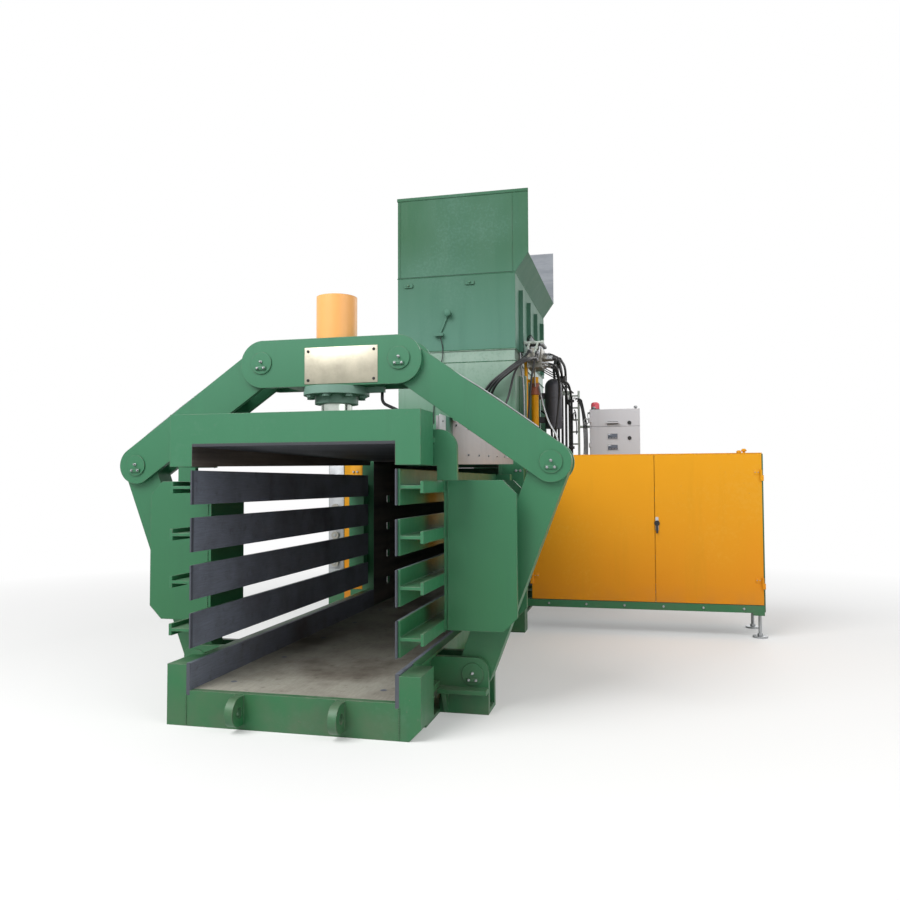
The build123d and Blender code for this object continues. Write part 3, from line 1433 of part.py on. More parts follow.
def control_panel(low_z, high_z):
    """Folded door of the electric cabinet, with its lock hole."""
    front = control_front - control_sheet
    prism((control_left, control_right), (front, control_front), (low_z, high_z))
    prism((control_left + control_sheet, control_right - control_sheet),
          (front + control_wall, control_front),
          (low_z + control_sheet, high_z - control_sheet), Mode.SUBTRACT)


def lock_hole(level):
    """Boss and bore of a quarter-turn lock."""
    rod(across(control_front), (lock_x, level), lock_radius, control_sheet)
    rod(across(control_front), (lock_x, level), lock_spindle + pin_fit, control_sheet,
        Mode.SUBTRACT)


with BuildPart() as upper_control_door:
    control_panel(control_seam + control_reveal / 2, control_top)
    door_barrels(control_pin_x, control_hinge_front, upper_hinges, True)
    lock_hole(lock_z[1])
    handle_front = control_front - control_sheet
    for end in (-1, 1):
        rod(across(handle_front), (meter_x + end * handle_length / 2, handle_z), handle_radius,
            handle_reach)
    rod(along(meter_x - handle_length / 2 - handle_radius),
        (handle_front - handle_reach, handle_z), handle_radius, handle_length + 2 * handle_radius)
save(upper_control_door, "upper_control_door")

with BuildPart() as lower_control_door:
    control_panel(outrigger_height, control_seam - control_reveal / 2)
    door_barrels(control_pin_x, control_hinge_front, lower_hinges, True)
    lock_hole(lock_z[0])
    for level in meter_z:
        with BuildSketch(across(handle_front)):
            with Locations((meter_x, level)):
                Rectangle(meter_width, meter_height)
                Rectangle(meter_width - 2 * meter_rim, meter_height - 2 * meter_rim,
                          mode=Mode.SUBTRACT)
        extrude(amount=meter_rim)
save(lower_control_door, "lower_control_door")


def quarter_turn(level):
    """Knob and spindle of a quarter-turn lock."""
    rod(across(control_front), (lock_x, level), lock_spindle, control_sheet)
    rod(across(handle_front), (lock_x, level), lock_radius, lock_spindle)
    with BuildSketch(across(handle_front - lock_spindle)) as wing:
        with Locations((lock_x, level)):
            Rectangle(lock_spindle, 1.7 * lock_radius)
    extrude(wing.sketch, amount=lock_spindle)


with BuildPart() as upper_lock:
    quarter_turn(lock_z[1])
save(upper_lock, "upper_lock")

with BuildPart() as lower_lock:
    quarter_turn(lock_z[0])
save(lower_lock, "lower_lock")

with BuildPart() as beacon:
    beacon_y = control_front + control_depth / 3
    rod(Plane.XY.offset(control_top), (beacon_x, beacon_y), beacon_radius, beacon_height)
    fillet(beacon.faces().sort_by(Axis.Z)[-1].edges(), beacon_radius / 2)
save(beacon, "beacon")

# Oil tank with its lid, and the motor with pump on top
tank_left = skid_out + tank_gap
tank_mid_x = tank_left + tank_width / 2
tank_mid_y = tank_front + tank_length / 2
tank_top = tank_low + tank_height
with BuildPart() as oil_tank:
    with BuildSketch(Plane.XY.offset(tank_low)):
        with Locations((tank_mid_x, tank_mid_y)):
            RectangleRounded(tank_width, tank_length, tank_corner)
    extrude(amount=tank_height - tank_rib)
    with BuildSketch(Plane.XY.offset(tank_top - tank_rib)):
        with Locations((tank_mid_x, tank_mid_y)):
            RectangleRounded(tank_width + tank_rib, tank_length + tank_rib, tank_corner)
    extrude(amount=tank_rib)
    prism((tank_left + tank_wall, tank_left + tank_width - tank_wall),
          (tank_front + tank_wall, tank_front + tank_length - tank_wall),
          (tank_low + tank_wall, tank_top - tank_rib - tank_wall), Mode.SUBTRACT)
    rod(Plane.XY.offset(tank_top), (tank_mid_x, tank_front + 3 * filler_radius), filler_radius,
        filler_height)

with BuildPart() as pump_motor:
    motor_z = tank_top + motor_foot + motor_radius
    motor_rear = tank_mid_y + motor_length
    rod(across(motor_rear), (tank_mid_x, motor_z), motor_radius, motor_length)
    rod(across(motor_rear - motor_length), (tank_mid_x, motor_z), pump_radius, pump_length)
    prism((tank_mid_x - motor_radius, tank_mid_x + motor_radius),
          (motor_rear - motor_length + motor_foot, motor_rear - motor_foot),
          (tank_top, tank_top + motor_foot + motor_foot))
save_group("power_pack", oil_tank, pump_motor)
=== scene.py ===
"""Looks for the horizontal auto-tie baler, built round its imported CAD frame."""

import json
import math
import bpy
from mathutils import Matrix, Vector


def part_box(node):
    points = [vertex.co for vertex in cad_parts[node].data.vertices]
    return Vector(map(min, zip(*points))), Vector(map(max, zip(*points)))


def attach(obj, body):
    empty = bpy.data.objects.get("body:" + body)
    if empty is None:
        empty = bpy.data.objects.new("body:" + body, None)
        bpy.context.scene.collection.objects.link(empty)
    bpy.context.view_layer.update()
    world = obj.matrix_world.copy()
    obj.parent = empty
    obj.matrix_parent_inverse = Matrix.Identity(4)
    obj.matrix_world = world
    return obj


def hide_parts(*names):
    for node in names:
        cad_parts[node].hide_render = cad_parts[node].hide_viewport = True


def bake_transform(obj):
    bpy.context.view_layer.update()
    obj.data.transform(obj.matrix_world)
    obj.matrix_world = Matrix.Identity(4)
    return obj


bl_info = {
    "name": "Horizontal baler",
    "version": (1, 0, 0),
    "blender": (4, 5, 0),
    "location": "View3D > Sidebar > Baler",
    "description": "Finishes and small pieces for a horizontal auto-tie baler",
    "category": "Object",
}

import bmesh
import bpy
from bpy.props import FloatProperty, FloatVectorProperty, PointerProperty
from mathutils import Matrix, Vector

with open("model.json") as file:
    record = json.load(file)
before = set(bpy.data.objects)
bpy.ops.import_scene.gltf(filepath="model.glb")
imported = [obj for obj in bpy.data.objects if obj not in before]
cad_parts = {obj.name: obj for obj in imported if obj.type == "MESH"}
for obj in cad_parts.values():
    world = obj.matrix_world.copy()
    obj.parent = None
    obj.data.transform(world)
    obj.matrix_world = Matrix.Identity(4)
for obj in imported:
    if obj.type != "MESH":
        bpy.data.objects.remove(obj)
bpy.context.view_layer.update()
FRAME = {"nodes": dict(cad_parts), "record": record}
NODES = FRAME["nodes"]


def face(node, side):
    """Where one face of a CAD node's box lies, such as "+y" for its rear, to 0.1 mm."""
    return round(getattr(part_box(node)[side[0] == "+"], side[1]), 4)


# The lines that several pieces share, in metres. WALL is the outer face of the body's side
# plates, LINKAGE the middle of the squeeze linkage and ARM_PLATES the faces of its arms
CHAMBER_FRONT = face("top_platen", "-y")
SKID_TOP = face("base_frame", "+z")
BODY_FRONT = face("body_walls", "-y")
WALL = 0.575
HOPPER_SIDE = face("hopper_ring", "+x")
HOPPER_FRONT = face("hopper_crown", "-y")
HOPPER_REAR = face("hopper_crown", "+y")
RING_FOOT = face("hopper_ring", "-z")
RING_TOP = face("hopper_ring", "+z")
BOX_TOP = face("hopper_crown", "-z")
LINKAGE = 0.51
ARM_PLATES = (0.443, 0.577)
FIRST_VALVE, VALVE_PITCH = 0.045, 0.07
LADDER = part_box("cable_ladder")[0].y - 0.02
SIDES = (("right", 1), ("left", -1))

FORWARD, REARWARD = (0, -1, 0), (0, 1, 0)
LEFT, RIGHT, UP = (-1, 0, 0), (1, 0, 0), (0, 0, 1)

# The pivots of the right side's linkage as (x, z), and how far its arms lean
HEAD_PIN = (0.415, 1.935)
KNEE_PIN = (1.25, 1.35)
BASE_PIN = (0.822, 0.212)
ARM_LEAN = math.atan2(HEAD_PIN[1] - KNEE_PIN[1], KNEE_PIN[0] - HEAD_PIN[0])


def on_arm(side, run, lift, y):
    """A point at a run down an arm from its upper pin and a lift off its middle line."""
    x = HEAD_PIN[0] + run * math.cos(ARM_LEAN) + lift * math.sin(ARM_LEAN)
    z = HEAD_PIN[1] - run * math.sin(ARM_LEAN) + lift * math.cos(ARM_LEAN)
    return side * x, y, z


def around(count, radius, start=0.0):
    """The angle and both offsets of points spread evenly round a circle."""
    for i in range(count):
        angle = math.tau * (i + start) / count
        yield angle, radius * math.cos(angle), radius * math.sin(angle)


def linear(red, green, blue):
    """Scene colour of an sRGB colour given in 0 to 255."""
    return tuple(
        (c / 255 / 12.92) if c <= 10 else ((c / 255 + 0.055) / 1.055) ** 2.4
        for c in (red, green, blue)
    )


def tone(shade, factor, lift=0.0):
    """A shade made darker or paler by a factor, then lifted."""
    return tuple(min(c * factor + lift, 1.0) for c in shade)


# What settles on the paint, splashes up on it and shows where it has gone
DUST = linear(150, 146, 136)
MUD = linear(96, 88, 76)
BARE = linear(112, 106, 98)


def colour(name, text, default):
    """A colour setting."""
    return FloatVectorProperty(
        name=name, description=text, subtype="COLOR", size=3, min=0, max=1, default=default
    )


def length(name, text, default):
    """A length setting in metres."""
    return FloatProperty(
        name=name, description=text, subtype="DISTANCE", unit="LENGTH", min=0.001,
        precision=4, default=default,
    )


class Wire:
    """An output socket that takes Python arithmetic and adds the Math nodes for it."""

    def __init__(self, tree, socket):
        self.tree = tree
        self.socket = socket

    def maths(self, operation, first, second=0.0, clamp=False):
        """A Math node on two values."""
        return self.tree.node(
            "ShaderNodeMath", {"operation": operation, "use_clamp": clamp}, {0: first, 1: second}
        )

    def __add__(self, other):
        return self.maths("ADD", self, other)

    def __sub__(self, other):
        return self.maths("SUBTRACT", self, other)

    def __rsub__(self, other):
        return self.maths("SUBTRACT", other, self)

    def __mul__(self, other):
        return self.maths("MULTIPLY", self, other)

    __radd__ = __add__
    __rmul__ = __mul__

    def held(self):
        """The value kept between 0 and 1."""
        return self.maths("ADD", self, 0.0, clamp=True)

    def over(self, low, high):
        """0 below low and 1 above high, straight between them."""
        return self.maths("MULTIPLY", self - low, 1 / (high - low), clamp=True)


class Tree:
    """A node tree and the short ways to fill it."""

    def node(self, kind, settings=None, values=None, out=0):
        """Adds a node: its settings first, then the values or links of its sockets."""
        made = self.tree.nodes.new(kind)
        for name, value in (settings or {}).items():
            setattr(made, name, value)
        for key, value in (values or {}).items():
            self.feed(made.inputs[key], value)
        return Wire(self, made.outputs[out])

    def feed(self, socket, value):
        """Links a value to a socket, or sets it there when it is constant."""
        if isinstance(value, Wire):
            self.tree.links.new(value.socket, socket)
        elif socket.type == "RGBA" and len(value) == 3:
            socket.default_value = (*value, 1.0)
        else:
            socket.default_value = value


class Finish(Tree):
    """One material, its node tree and the patterns that the finishes share."""

    def __init__(self, name):
        self.material = bpy.data.materials.new(name)
        self.material.use_nodes = True
        self.tree = self.material.node_tree
        self.shader = self.tree.nodes["Principled BSDF"]
        self.place = self.node("ShaderNodeTexCoord", out="Object")

    def set(self, **values):
        """Feeds sockets of the surface shader, with _ for a space in their names."""
        for name, value in values.items():
            self.feed(self.shader.inputs[name.replace("_", " ")], value)

    def mix(self, factor, first, second):
        """Colour between two colours."""
        return self.node(
            "ShaderNodeMix", {"data_type": "RGBA"}, {0: factor, 6: first, 7: second}, out=2
        )

    def stretched(self, scale):
        """Place on the piece, scaled by (x, y, z)."""
        return self.node("ShaderNodeMapping", None, {"Vector": self.place, "Scale": scale})

    def noise(self, scale, detail=3.0, roughness=0.5, stretch=(1, 1, 1)):
        """Cloudy pattern from 0 to 1."""
        return self.node(
            "ShaderNodeTexNoise",
            None,
            {
                "Vector": self.stretched(stretch),
                "Scale": scale,
                "Detail": detail,
                "Roughness": roughness,
            },
        )

    def axis(self, vector, name):
        """One part of a vector."""
        return self.node("ShaderNodeSeparateXYZ", None, {0: vector}, out=name)

    def facing(self, name):
        """One part of the surface's own direction."""
        return self.axis(self.node("ShaderNodeNewGeometry", out="Normal"), name)

    def rounded(self, radius):
        """Surface direction with its edges rounded by a radius."""
        return self.node("ShaderNodeBevel", {"samples": 4}, {"Radius": radius})

    def edges(self, radius):
        """1 on outer edges, falling to 0 within about a radius."""
        soft = self.rounded(radius)
        hard = self.node("ShaderNodeNewGeometry", out="Normal")
        same = self.node(
            "ShaderNodeVectorMath", {"operation": "DOT_PRODUCT"}, {0: soft, 1: hard}, out="Value"
        )
        return (1 - same).over(0.01, 0.16)

    def bump(self, height, distance, strength=1.0, normal=None):
        """Surface direction with a relief of a height in metres."""
        values = {"Height": height, "Distance": distance, "Strength": strength}
        if normal is not None:
            values["Normal"] = normal
        return self.node("ShaderNodeBump", None, values)


def chamber_side(f):
    """1 on the plate that faces the bale, inside the chamber's four walls."""
    x = f.axis(f.place, "X")
    z = f.axis(f.place, "Z")
    across = x.maths("ABSOLUTE", x).over(0.5522, 0.5518)
    upright = z.over(0.1842, 0.1846) * z.over(1.4442, 1.4438)
    return across * upright * f.axis(f.place, "Y").over(8.69, 8.68)


def feed_side(f):
    """1 on the hopper's rear wall, where the waste slides down; the grey put there is partly bare
    plate and partly painted reflection.
    """
    y = f.axis(f.place, "Y")
    near = y.over(HOPPER_REAR - 0.06, HOPPER_REAR - 0.05)
    return near * (0 - f.facing("Y")).over(0.9, 0.98)


def enamel(
    name, paint, wear=0.5, gloss=0.36, rounding=0.004, dust=0.3,
    low=(0.72, 0.68, 0.6), lined=None, haze=None, **more,
):
    """Sprayed machine enamel with rubbed edges, streaks, dust and faint plate waves, darkened
    towards the ground as painted shade.
    """
    f = Finish(name)
    cloud = f.noise(1.3, 4.0)
    fine = f.noise(38.0, 5.0, 0.65)
    streak = f.noise(2.2, 6.0, 0.6, (4.0, 4.0, 0.35))
    height = f.axis(f.place, "Z")
    # Painted shade: the paint is darkened towards the ground by the low factors, standing in for
    # light that falls from above
    shade = f.mix(height.over(0.1, 2.0), tuple(a * b for a, b in zip(paint, low)), paint)
    if haze:
        lower, upper, tint = haze
        shade = f.mix(height.over(lower, upper), shade, tint)
    shade = f.mix(cloud.over(0.3, 0.75) * 0.4, shade, tone(paint, 0.78))
    shade = f.mix(streak.over(0.55, 0.8) * 0.35, shade, tone(paint, 0.6))
    shade = f.mix((fine * cloud).over(0.3, 0.42) * 0.3, shade, tone(paint, 0.84, 0.03))
    up = f.facing("Z").over(0.5, 0.95)
    dusty = up * f.noise(5.0, 5.0, 0.6).over(0.3, 0.7) * dust
    shade = f.mix(dusty, shade, DUST)
    splash = (1 - height.over(0.02, 0.42)) * f.noise(6.0, 4.0).over(0.35, 0.7)
    shade = f.mix(splash * 0.4, shade, MUD)
    rubbed = (f.edges(rounding * 1.8) * f.noise(24.0, 6.0, 0.7).over(0.44, 0.62)) * wear
    chips = f.noise(55.0, 3.0, 0.5).over(0.71, 0.74) * cloud.over(0.5, 0.62) * wear
    bare = (rubbed + chips).held()
    shade = f.mix(bare, shade, BARE)
    # On the bale's side this is scoured bare plate; on the hopper's rear wall its grey is partly a
    # painted reflection
    if lined:
        side, dark, pale = lined
        scour_and_reflection = f.noise(3.0, 6.0, 0.7, (1, 0.2, 6)).over(0.3, 0.7)
        shade = f.mix(side(f), shade, f.mix(scour_and_reflection, dark, pale))
    peel = f.noise(260.0, 2.0)
    wave = f.noise(3.5, 2.0)
    normal = f.bump(peel, 0.0002, 0.6, f.rounded(rounding))
    normal = f.bump(wave, 0.004, 0.35, normal)
    f.set(
        Base_Color=shade,
        Roughness=(gloss + fine * 0.14 + dusty * 0.3 + streak.over(0.4, 0.8) * 0.1).held(),
        Metallic=bare * 0.6,
        Normal=normal,
        **more,
    )
    return f.material


def rolled(
    name, metal, dirt, metallic=0.75, gloss=0.34, along=(30, 1.2, 30), rounding=0.003, lip=None
):
    """Bare plate with long scratches along one way, stains and rubbed edges; given a lip, its front
    end is painted near black as painted shade.
    """
    f = Finish(name)
    scratch = f.noise(9.0, 8.0, 0.75, along)
    stain = f.noise(2.1, 5.0, 0.6)
    spot = f.noise(17.0, 4.0, 0.6)
    shade = f.mix(scratch.over(0.35, 0.7), tone(metal, 0.62), metal)
    shade = f.mix(stain.over(0.42, 0.68) * 0.75, shade, dirt)
    shade = f.mix(spot.over(0.6, 0.75) * 0.4, shade, tone(dirt, 0.45))
    edge = f.edges(rounding * 1.6)
    # Painted shade: in front of the lip the plate is painted near black, and its rubbed edges are
    # not lightened there
    if lip is not None:
        inner = f.axis(f.place, "Y").over(lip, lip + 0.002)
        shade = f.mix(inner, tone(metal, 0.3), shade)
        edge = edge * inner
    shade = f.mix(edge * 0.4, shade, tone(metal, 1.5, 0.05))
    f.set(
        Base_Color=shade,
        Roughness=(gloss + stain * 0.25 + scratch * 0.12).held(),
        Metallic=(metallic - stain.over(0.42, 0.68) * 0.4).held(),
        Normal=f.bump(scratch, 0.0008, 0.5, f.rounded(rounding)),
    )
    return f.material


def turned(name, metal, gloss=0.22, oil=None, rounding=0.002):
    """Machined or plated metal with fine rings of tooling and an oily film; on the chromed rod the
    film's green tint is a painted reflection of the green paint around it.
    """
    f = Finish(name)
    oily_film_and_reflection = f.noise(7.0, 5.0, 0.6)
    fine = f.noise(120.0, 3.0, 0.6, (1, 1, 6))
    shade = f.mix(fine.over(0.35, 0.7) * 0.3, metal, tone(metal, 0.7))
    # Patches tinted by the film colour: dark oil on most metals, and a painted green reflection on
    # the chromed rod
    shade = f.mix(oily_film_and_reflection.over(0.42, 0.7) * 0.5, shade, oil or tone(metal, 0.45))
    f.set(
        Base_Color=shade,
        Roughness=(gloss + oily_film_and_reflection * 0.22 + fine * 0.06).held(),
        Metallic=1.0,
        Normal=f.bump(fine, 0.0002, 0.4, f.rounded(rounding)),
    )
    return f.material


def moulded(name, shade, gloss=0.45, grain=0.0003, rounding=0.001, **more):
    """Moulded plastic or rubber with a faint grain and rub marks."""
    f = Finish(name)
    grains = f.noise(420.0, 2.0)
    rub = f.noise(16.0, 5.0, 0.6)
    body = f.mix(rub.over(0.5, 0.75) * 0.35, shade, tone(shade, 1.15, 0.035))
    f.set(
        Base_Color=body,
        Roughness=(gloss + rub * 0.18).held(),
        Normal=f.bump(grains, grain, 0.5, f.rounded(rounding)),
        **more,
    )
    return f.material


def seen(tree):
    """1 for the camera and for what metal and glass show, and 0 for the light itself."""
    camera, glossy, through = (
        tree.node("ShaderNodeLightPath", out=f"Is {kind} Ray")
        for kind in ("Camera", "Glossy", "Transmission")
    )
    return (camera + glossy + through).held()


class Growth(Tree):
    """A Geometry Nodes tree with named inputs that turns a plain mesh into its pieces."""

    def __init__(self, name, **inputs):
        self.tree = bpy.data.node_groups.new(name, "GeometryNodeTree")
        sockets = self.tree.interface
        sockets.new_socket("Geometry", in_out="INPUT", socket_type="NodeSocketGeometry")
        self.keys = {}
        for label, (kind, value) in {**inputs, "Material": ("Material", None)}.items():
            made = sockets.new_socket(label, in_out="INPUT", socket_type="NodeSocket" + kind)
            if value is not None:
                made.default_value = value
            self.keys[label] = made.identifier
        sockets.new_socket("Geometry", in_out="OUTPUT", socket_type="NodeSocketGeometry")
        self.given = self.tree.nodes.new("NodeGroupInput")
        self.source = self.input("Geometry")

    def input(self, label):
        """A named input of the tree."""
        return Wire(self, self.given.outputs[label])

    def close(self, geometry):
        """Realizes the instances, sets the material and ends the tree."""
        real = self.node("GeometryNodeRealizeInstances", None, {0: geometry})
        painted = self.node(
            "GeometryNodeSetMaterial", None, {0: real, "Material": self.input("Material")}
        )
        end = self.tree.nodes.new("NodeGroupOutput")
        self.feed(end.inputs[0], painted)

    def join(self, *parts):
        """Several geometries as one."""
        made = self.tree.nodes.new("GeometryNodeJoinGeometry")
        for part in parts:
            self.tree.links.new(part.socket, made.inputs[0])
        return Wire(self, made.outputs[0])

    def chance(self, low, high, seed):
        """Random number for each point."""
        return self.node("FunctionNodeRandomValue", None, {2: low, 3: high, 8: seed}, out=1)

    def grow(self, name, data, body, slot, material=None, **values):
        """Runs the tree on a mesh and leaves the result as a plain piece."""
        made = bpy.data.objects.new(name, data)
        bpy.context.scene.collection.objects.link(made)
        step = made.modifiers.new("growth", "NODES")
        step.node_group = self.tree
        for label, value in {"Material": material or finish(slot), **values}.items():
            step[self.keys[label]] = value
        graph = bpy.context.evaluated_depsgraph_get()
        grown = bpy.data.meshes.new_from_object(made.evaluated_get(graph))
        made.modifiers.clear()
        made.data = grown
        return settle(made, body)


def settle(made, body):
    """Hangs a piece on its body."""
    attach(made, body)
    return made


def bolt_growth():
    """Hexagon heads on washers, one for each point, turned at random."""
    g = Growth("bolt heads", Seed=("Int", 0), Washer=("Float", 1.15))
    washer = g.node(
        "GeometryNodeMeshCylinder",
        None,
        {"Vertices": 20, "Radius": g.input("Washer") * 0.5, "Depth": 0.14},
    )
    head = g.node("GeometryNodeMeshCylinder", None, {"Vertices": 6, "Radius": 0.5, "Depth": 0.5})
    crown = g.node(
        "GeometryNodeMeshCone",
        None,
        {"Vertices": 6, "Radius Top": 0.4, "Radius Bottom": 0.5, "Depth": 0.08},
    )
    parts = [
        g.node("GeometryNodeTransform", None, {0: part, "Translation": (0, 0, lift)})
        for part, lift in ((washer, 0.07), (head, 0.39), (crown, 0.64))
    ]
    facing = g.node("GeometryNodeInputNamedAttribute", {"data_type": "FLOAT_VECTOR"}, {0: "facing"})
    across = g.node("GeometryNodeInputNamedAttribute", {"data_type": "FLOAT"}, {0: "across"})
    aimed = g.node("FunctionNodeAlignRotationToVector", {"axis": "Z"}, {"Vector": facing})
    spin = g.node(
        "FunctionNodeAxisAngleToRotation",
        None,
        {"Axis": UP, "Angle": g.chance(0.0, math.tau, g.input("Seed"))},
    )
    turned_by = g.node(
        "FunctionNodeRotateRotation", {"rotation_space": "LOCAL"}, {0: aimed, 1: spin}
    )
    placed = g.node(
        "GeometryNodeInstanceOnPoints",
        None,
        {
            "Points": g.source,
            "Instance": g.join(*parts),
            "Rotation": turned_by,
            "Scale": g.node("ShaderNodeCombineXYZ", None, {0: across, 1: across, 2: across}),
        },
    )
    g.close(placed)
    return g


def weld_growth():
    """A bead of overlapping ripples along each edge."""
    g = Growth("weld bead", Width=("Float", 0.009), Pitch=("Float", 0.007), Seed=("Int", 3))
    curve = g.node("GeometryNodeMeshToCurve", None, {0: g.source})
    even = g.node(
        "GeometryNodeResampleCurve", {"mode": "LENGTH"}, {0: curve, "Length": g.input("Pitch")}
    )
    ripple = g.node(
        "GeometryNodeMeshIcoSphere", None, {"Radius": g.input("Width") * 0.5, "Subdivisions": 1}
    )
    aimed = g.node(
        "FunctionNodeAlignRotationToVector",
        {"axis": "X"},
        {"Vector": g.node("GeometryNodeInputTangent")},
    )
    girth = g.chance(0.85, 1.15, g.input("Seed"))
    placed = g.node(
        "GeometryNodeInstanceOnPoints",
        None,
        {
            "Points": even,
            "Instance": g.node("GeometryNodeSetShadeSmooth", None, {0: ripple}),
            "Rotation": aimed,
            "Scale": g.node("ShaderNodeCombineXYZ", None, {0: girth * 1.1, 1: girth, 2: girth}),
        },
    )
    g.close(placed)
    return g


def hose_growth():
    """A smooth round hose through the points of each chain of edges."""
    g = Growth("hose", Radius=("Float", 0.01), Sides=("Int", 14), Step=("Float", 0.03))
    curve = g.node("GeometryNodeMeshToCurve", None, {0: g.source})
    smooth = g.node("GeometryNodeCurveSplineType", {"spline_type": "CATMULL_ROM"}, {0: curve})
    even = g.node(
        "GeometryNodeResampleCurve", {"mode": "LENGTH"}, {0: smooth, "Length": g.input("Step")}
    )
    ring = g.node(
        "GeometryNodeCurvePrimitiveCircle",
        None,
        {"Resolution": g.input("Sides"), "Radius": g.input("Radius")},
    )
    tube = g.node("GeometryNodeCurveToMesh", None, {0: even, 1: ring, "Fill Caps": True})
    g.close(g.node("GeometryNodeSetShadeSmooth", None, {0: tube}))
    return g


GROWTH_KINDS = {"bolts": bolt_growth, "welds": weld_growth, "hoses": hose_growth}
GROWTHS = {}


def growth(kind):
    """The Geometry Nodes tree of a kind, made on its first use."""
    if kind not in GROWTHS:
        GROWTHS[kind] = GROWTH_KINDS[kind]()
    return GROWTHS[kind]


def bolts(name, body, slot, spots, seed=1, washer=1.15):
    """Bolt heads at (place, direction, width) spots."""
    data = bpy.data.meshes.new(name)
    data.from_pydata([spot[0] for spot in spots], [], [])
    facing = data.attributes.new("facing", "FLOAT_VECTOR", "POINT")
    facing.data.foreach_set("vector", [part for spot in spots for part in spot[1]])
    across = data.attributes.new("across", "FLOAT", "POINT")
    across.data.foreach_set("value", [spot[2] for spot in spots])
    return growth("bolts").grow(name, data, body, slot, Seed=seed, Washer=washer)


def chains(name, kind, body, slot, paths, material=None, **values):
    """Weld beads or hoses along chains of points."""
    points = [point for path in paths for point in path]
    edges = []
    count = 0
    for path in paths:
        edges += [(count + i, count + i + 1) for i in range(len(path) - 1)]
        count += len(path)
    data = bpy.data.meshes.new(name)
    data.from_pydata(points, edges, [])
    return growth(kind).grow(name, data, body, slot, material, **values)


class Shape:
    """Solid forms gathered into one mesh."""

    def __init__(self):
        self.mesh = bmesh.new()

    def box(self, low, high, bevel=0.0015, turn=None):
        """Rectangular block with softened edges, turned about its middle."""
        size = [b - a for a, b in zip(low, high)]
        made = bmesh.ops.create_cube(self.mesh, size=1.0)["verts"]
        bmesh.ops.scale(self.mesh, vec=size, verts=made)
        if bevel:
            edges = list(dict.fromkeys(edge for corner in made for edge in corner.link_edges))
            made = bmesh.ops.bevel(
                self.mesh, geom=edges, offset=min(bevel, *(part / 3 for part in size)),
                segments=2, profile=0.5, affect="EDGES",
            )["verts"]
        if turn:
            bmesh.ops.rotate(self.mesh, cent=(0, 0, 0), matrix=turn, verts=made)
        bmesh.ops.translate(
            self.mesh, vec=[(a + b) / 2 for a, b in zip(low, high)], verts=made
        )
        return self

    def lathe(self, start, axis, profile, sides=24):
        """Round form through (radius, distance) pairs along an axis."""
        turn = Vector(axis).to_track_quat("Z", "Y").to_matrix()
        rings = []
        for radius, along in profile:
            count = sides if radius else 1
            rings.append([
                self.mesh.verts.new(
                    Vector(start) + turn @ Vector((
                        radius * math.cos(math.tau * i / sides),
                        radius * math.sin(math.tau * i / sides),
                        along,
                    ))
                )
                for i in range(count)
            ])
        for first, second in zip(rings, rings[1:]):
            for i in range(sides):
                loop = [first[i % len(first)], first[(i + 1) % len(first)],
                        second[(i + 1) % len(second)], second[i % len(second)]]
                corners = list(dict.fromkeys(loop))
                if len(corners) > 2:
                    self.mesh.faces.new(corners)
        return self

    def rod(self, start, axis, radius, length, sides=24, edge=0.001):
        """Round bar with broken edges."""
        edge = min(edge, radius / 4, length / 4)
        return self.lathe(
            start, axis,
            ((0, 0), (radius - edge, 0), (radius, edge), (radius, length - edge),
             (radius - edge, length), (0, length)),
            sides,
        )

    def done(self, name, body, slot, material=None, sharp=35):
        """Closes the mesh and leaves it as a piece."""
        bmesh.ops.recalc_face_normals(self.mesh, faces=self.mesh.faces)
        data = bpy.data.meshes.new(name)
        self.mesh.to_mesh(data)
        self.mesh.free()
        data.shade_smooth()
        data.set_sharp_from_angle(angle=math.radians(sharp))
        data.materials.append(material or finish(slot))
        made = bpy.data.objects.new(name, data)
        bpy.context.scene.collection.objects.link(made)
        return settle(made, body)


class Finishes(bpy.types.PropertyGroup):
    """Colours of the paints and metals."""

    green: colour("Green", "Machine enamel of the press", linear(50, 114, 82))
    hopper: colour("Hopper green", "Paler enamel of the hopper", linear(76, 124, 106))
    crown: colour("Crown green", "Deeper enamel of the hopper's top", linear(32, 86, 54))
    yellow: colour("Yellow", "Enamel of the wire tier cabinet", linear(228, 162, 0))
    orange: colour("Orange", "Cover over the squeeze cylinder", linear(236, 170, 96))
    grey: colour("Cabinet grey", "Powder coat of the electric cabinet", linear(203, 203, 208))
    tank: colour("Tank grey", "Paint of the oil tank and motor", linear(92, 108, 100))
    cylinder: colour("Cylinder green", "Paint of the cylinders", linear(112, 148, 134))
    floor: colour("Worn plate", "Chamber floor polished by bales", linear(176, 173, 160))
    slats: colour("Dark plate", "Liners of the side doors", linear(120, 127, 141))
    rubber: colour("Hose black", "Outer cover of the hoses", linear(22, 22, 25))


class Fittings(bpy.types.PropertyGroup):
    """Sizes of the beads, hoses and pipes."""

    bead: length("Weld bead", "Width of a weld bead and pitch of its ripples", 0.011)
    valve_hose: length("Valve hose", "Radius of the two hoses down from the valves", 0.0105)
    ladder_hose: length("Ladder hose", "Radius of the hoses along the ladder", 0.0115)
    main_hose: length("Main hose", "Radius at the ferrules of the thick hoses", 0.0133)
    pump_hose: length("Pump hose", "Radius of the hoses on the power pack", 0.019)
    steel_pipe: length("Steel pipe", "Radius of the bent pipes", 0.0095)
    cable: length("Control cable", "Radius of the cables to the electric cabinet", 0.0055)
    switch_cable: length("Switch cable", "Radius of the level switch's cable", 0.0045)
    grease_line: length("Grease line", "Radius of the pipes along the arms", 0.004)


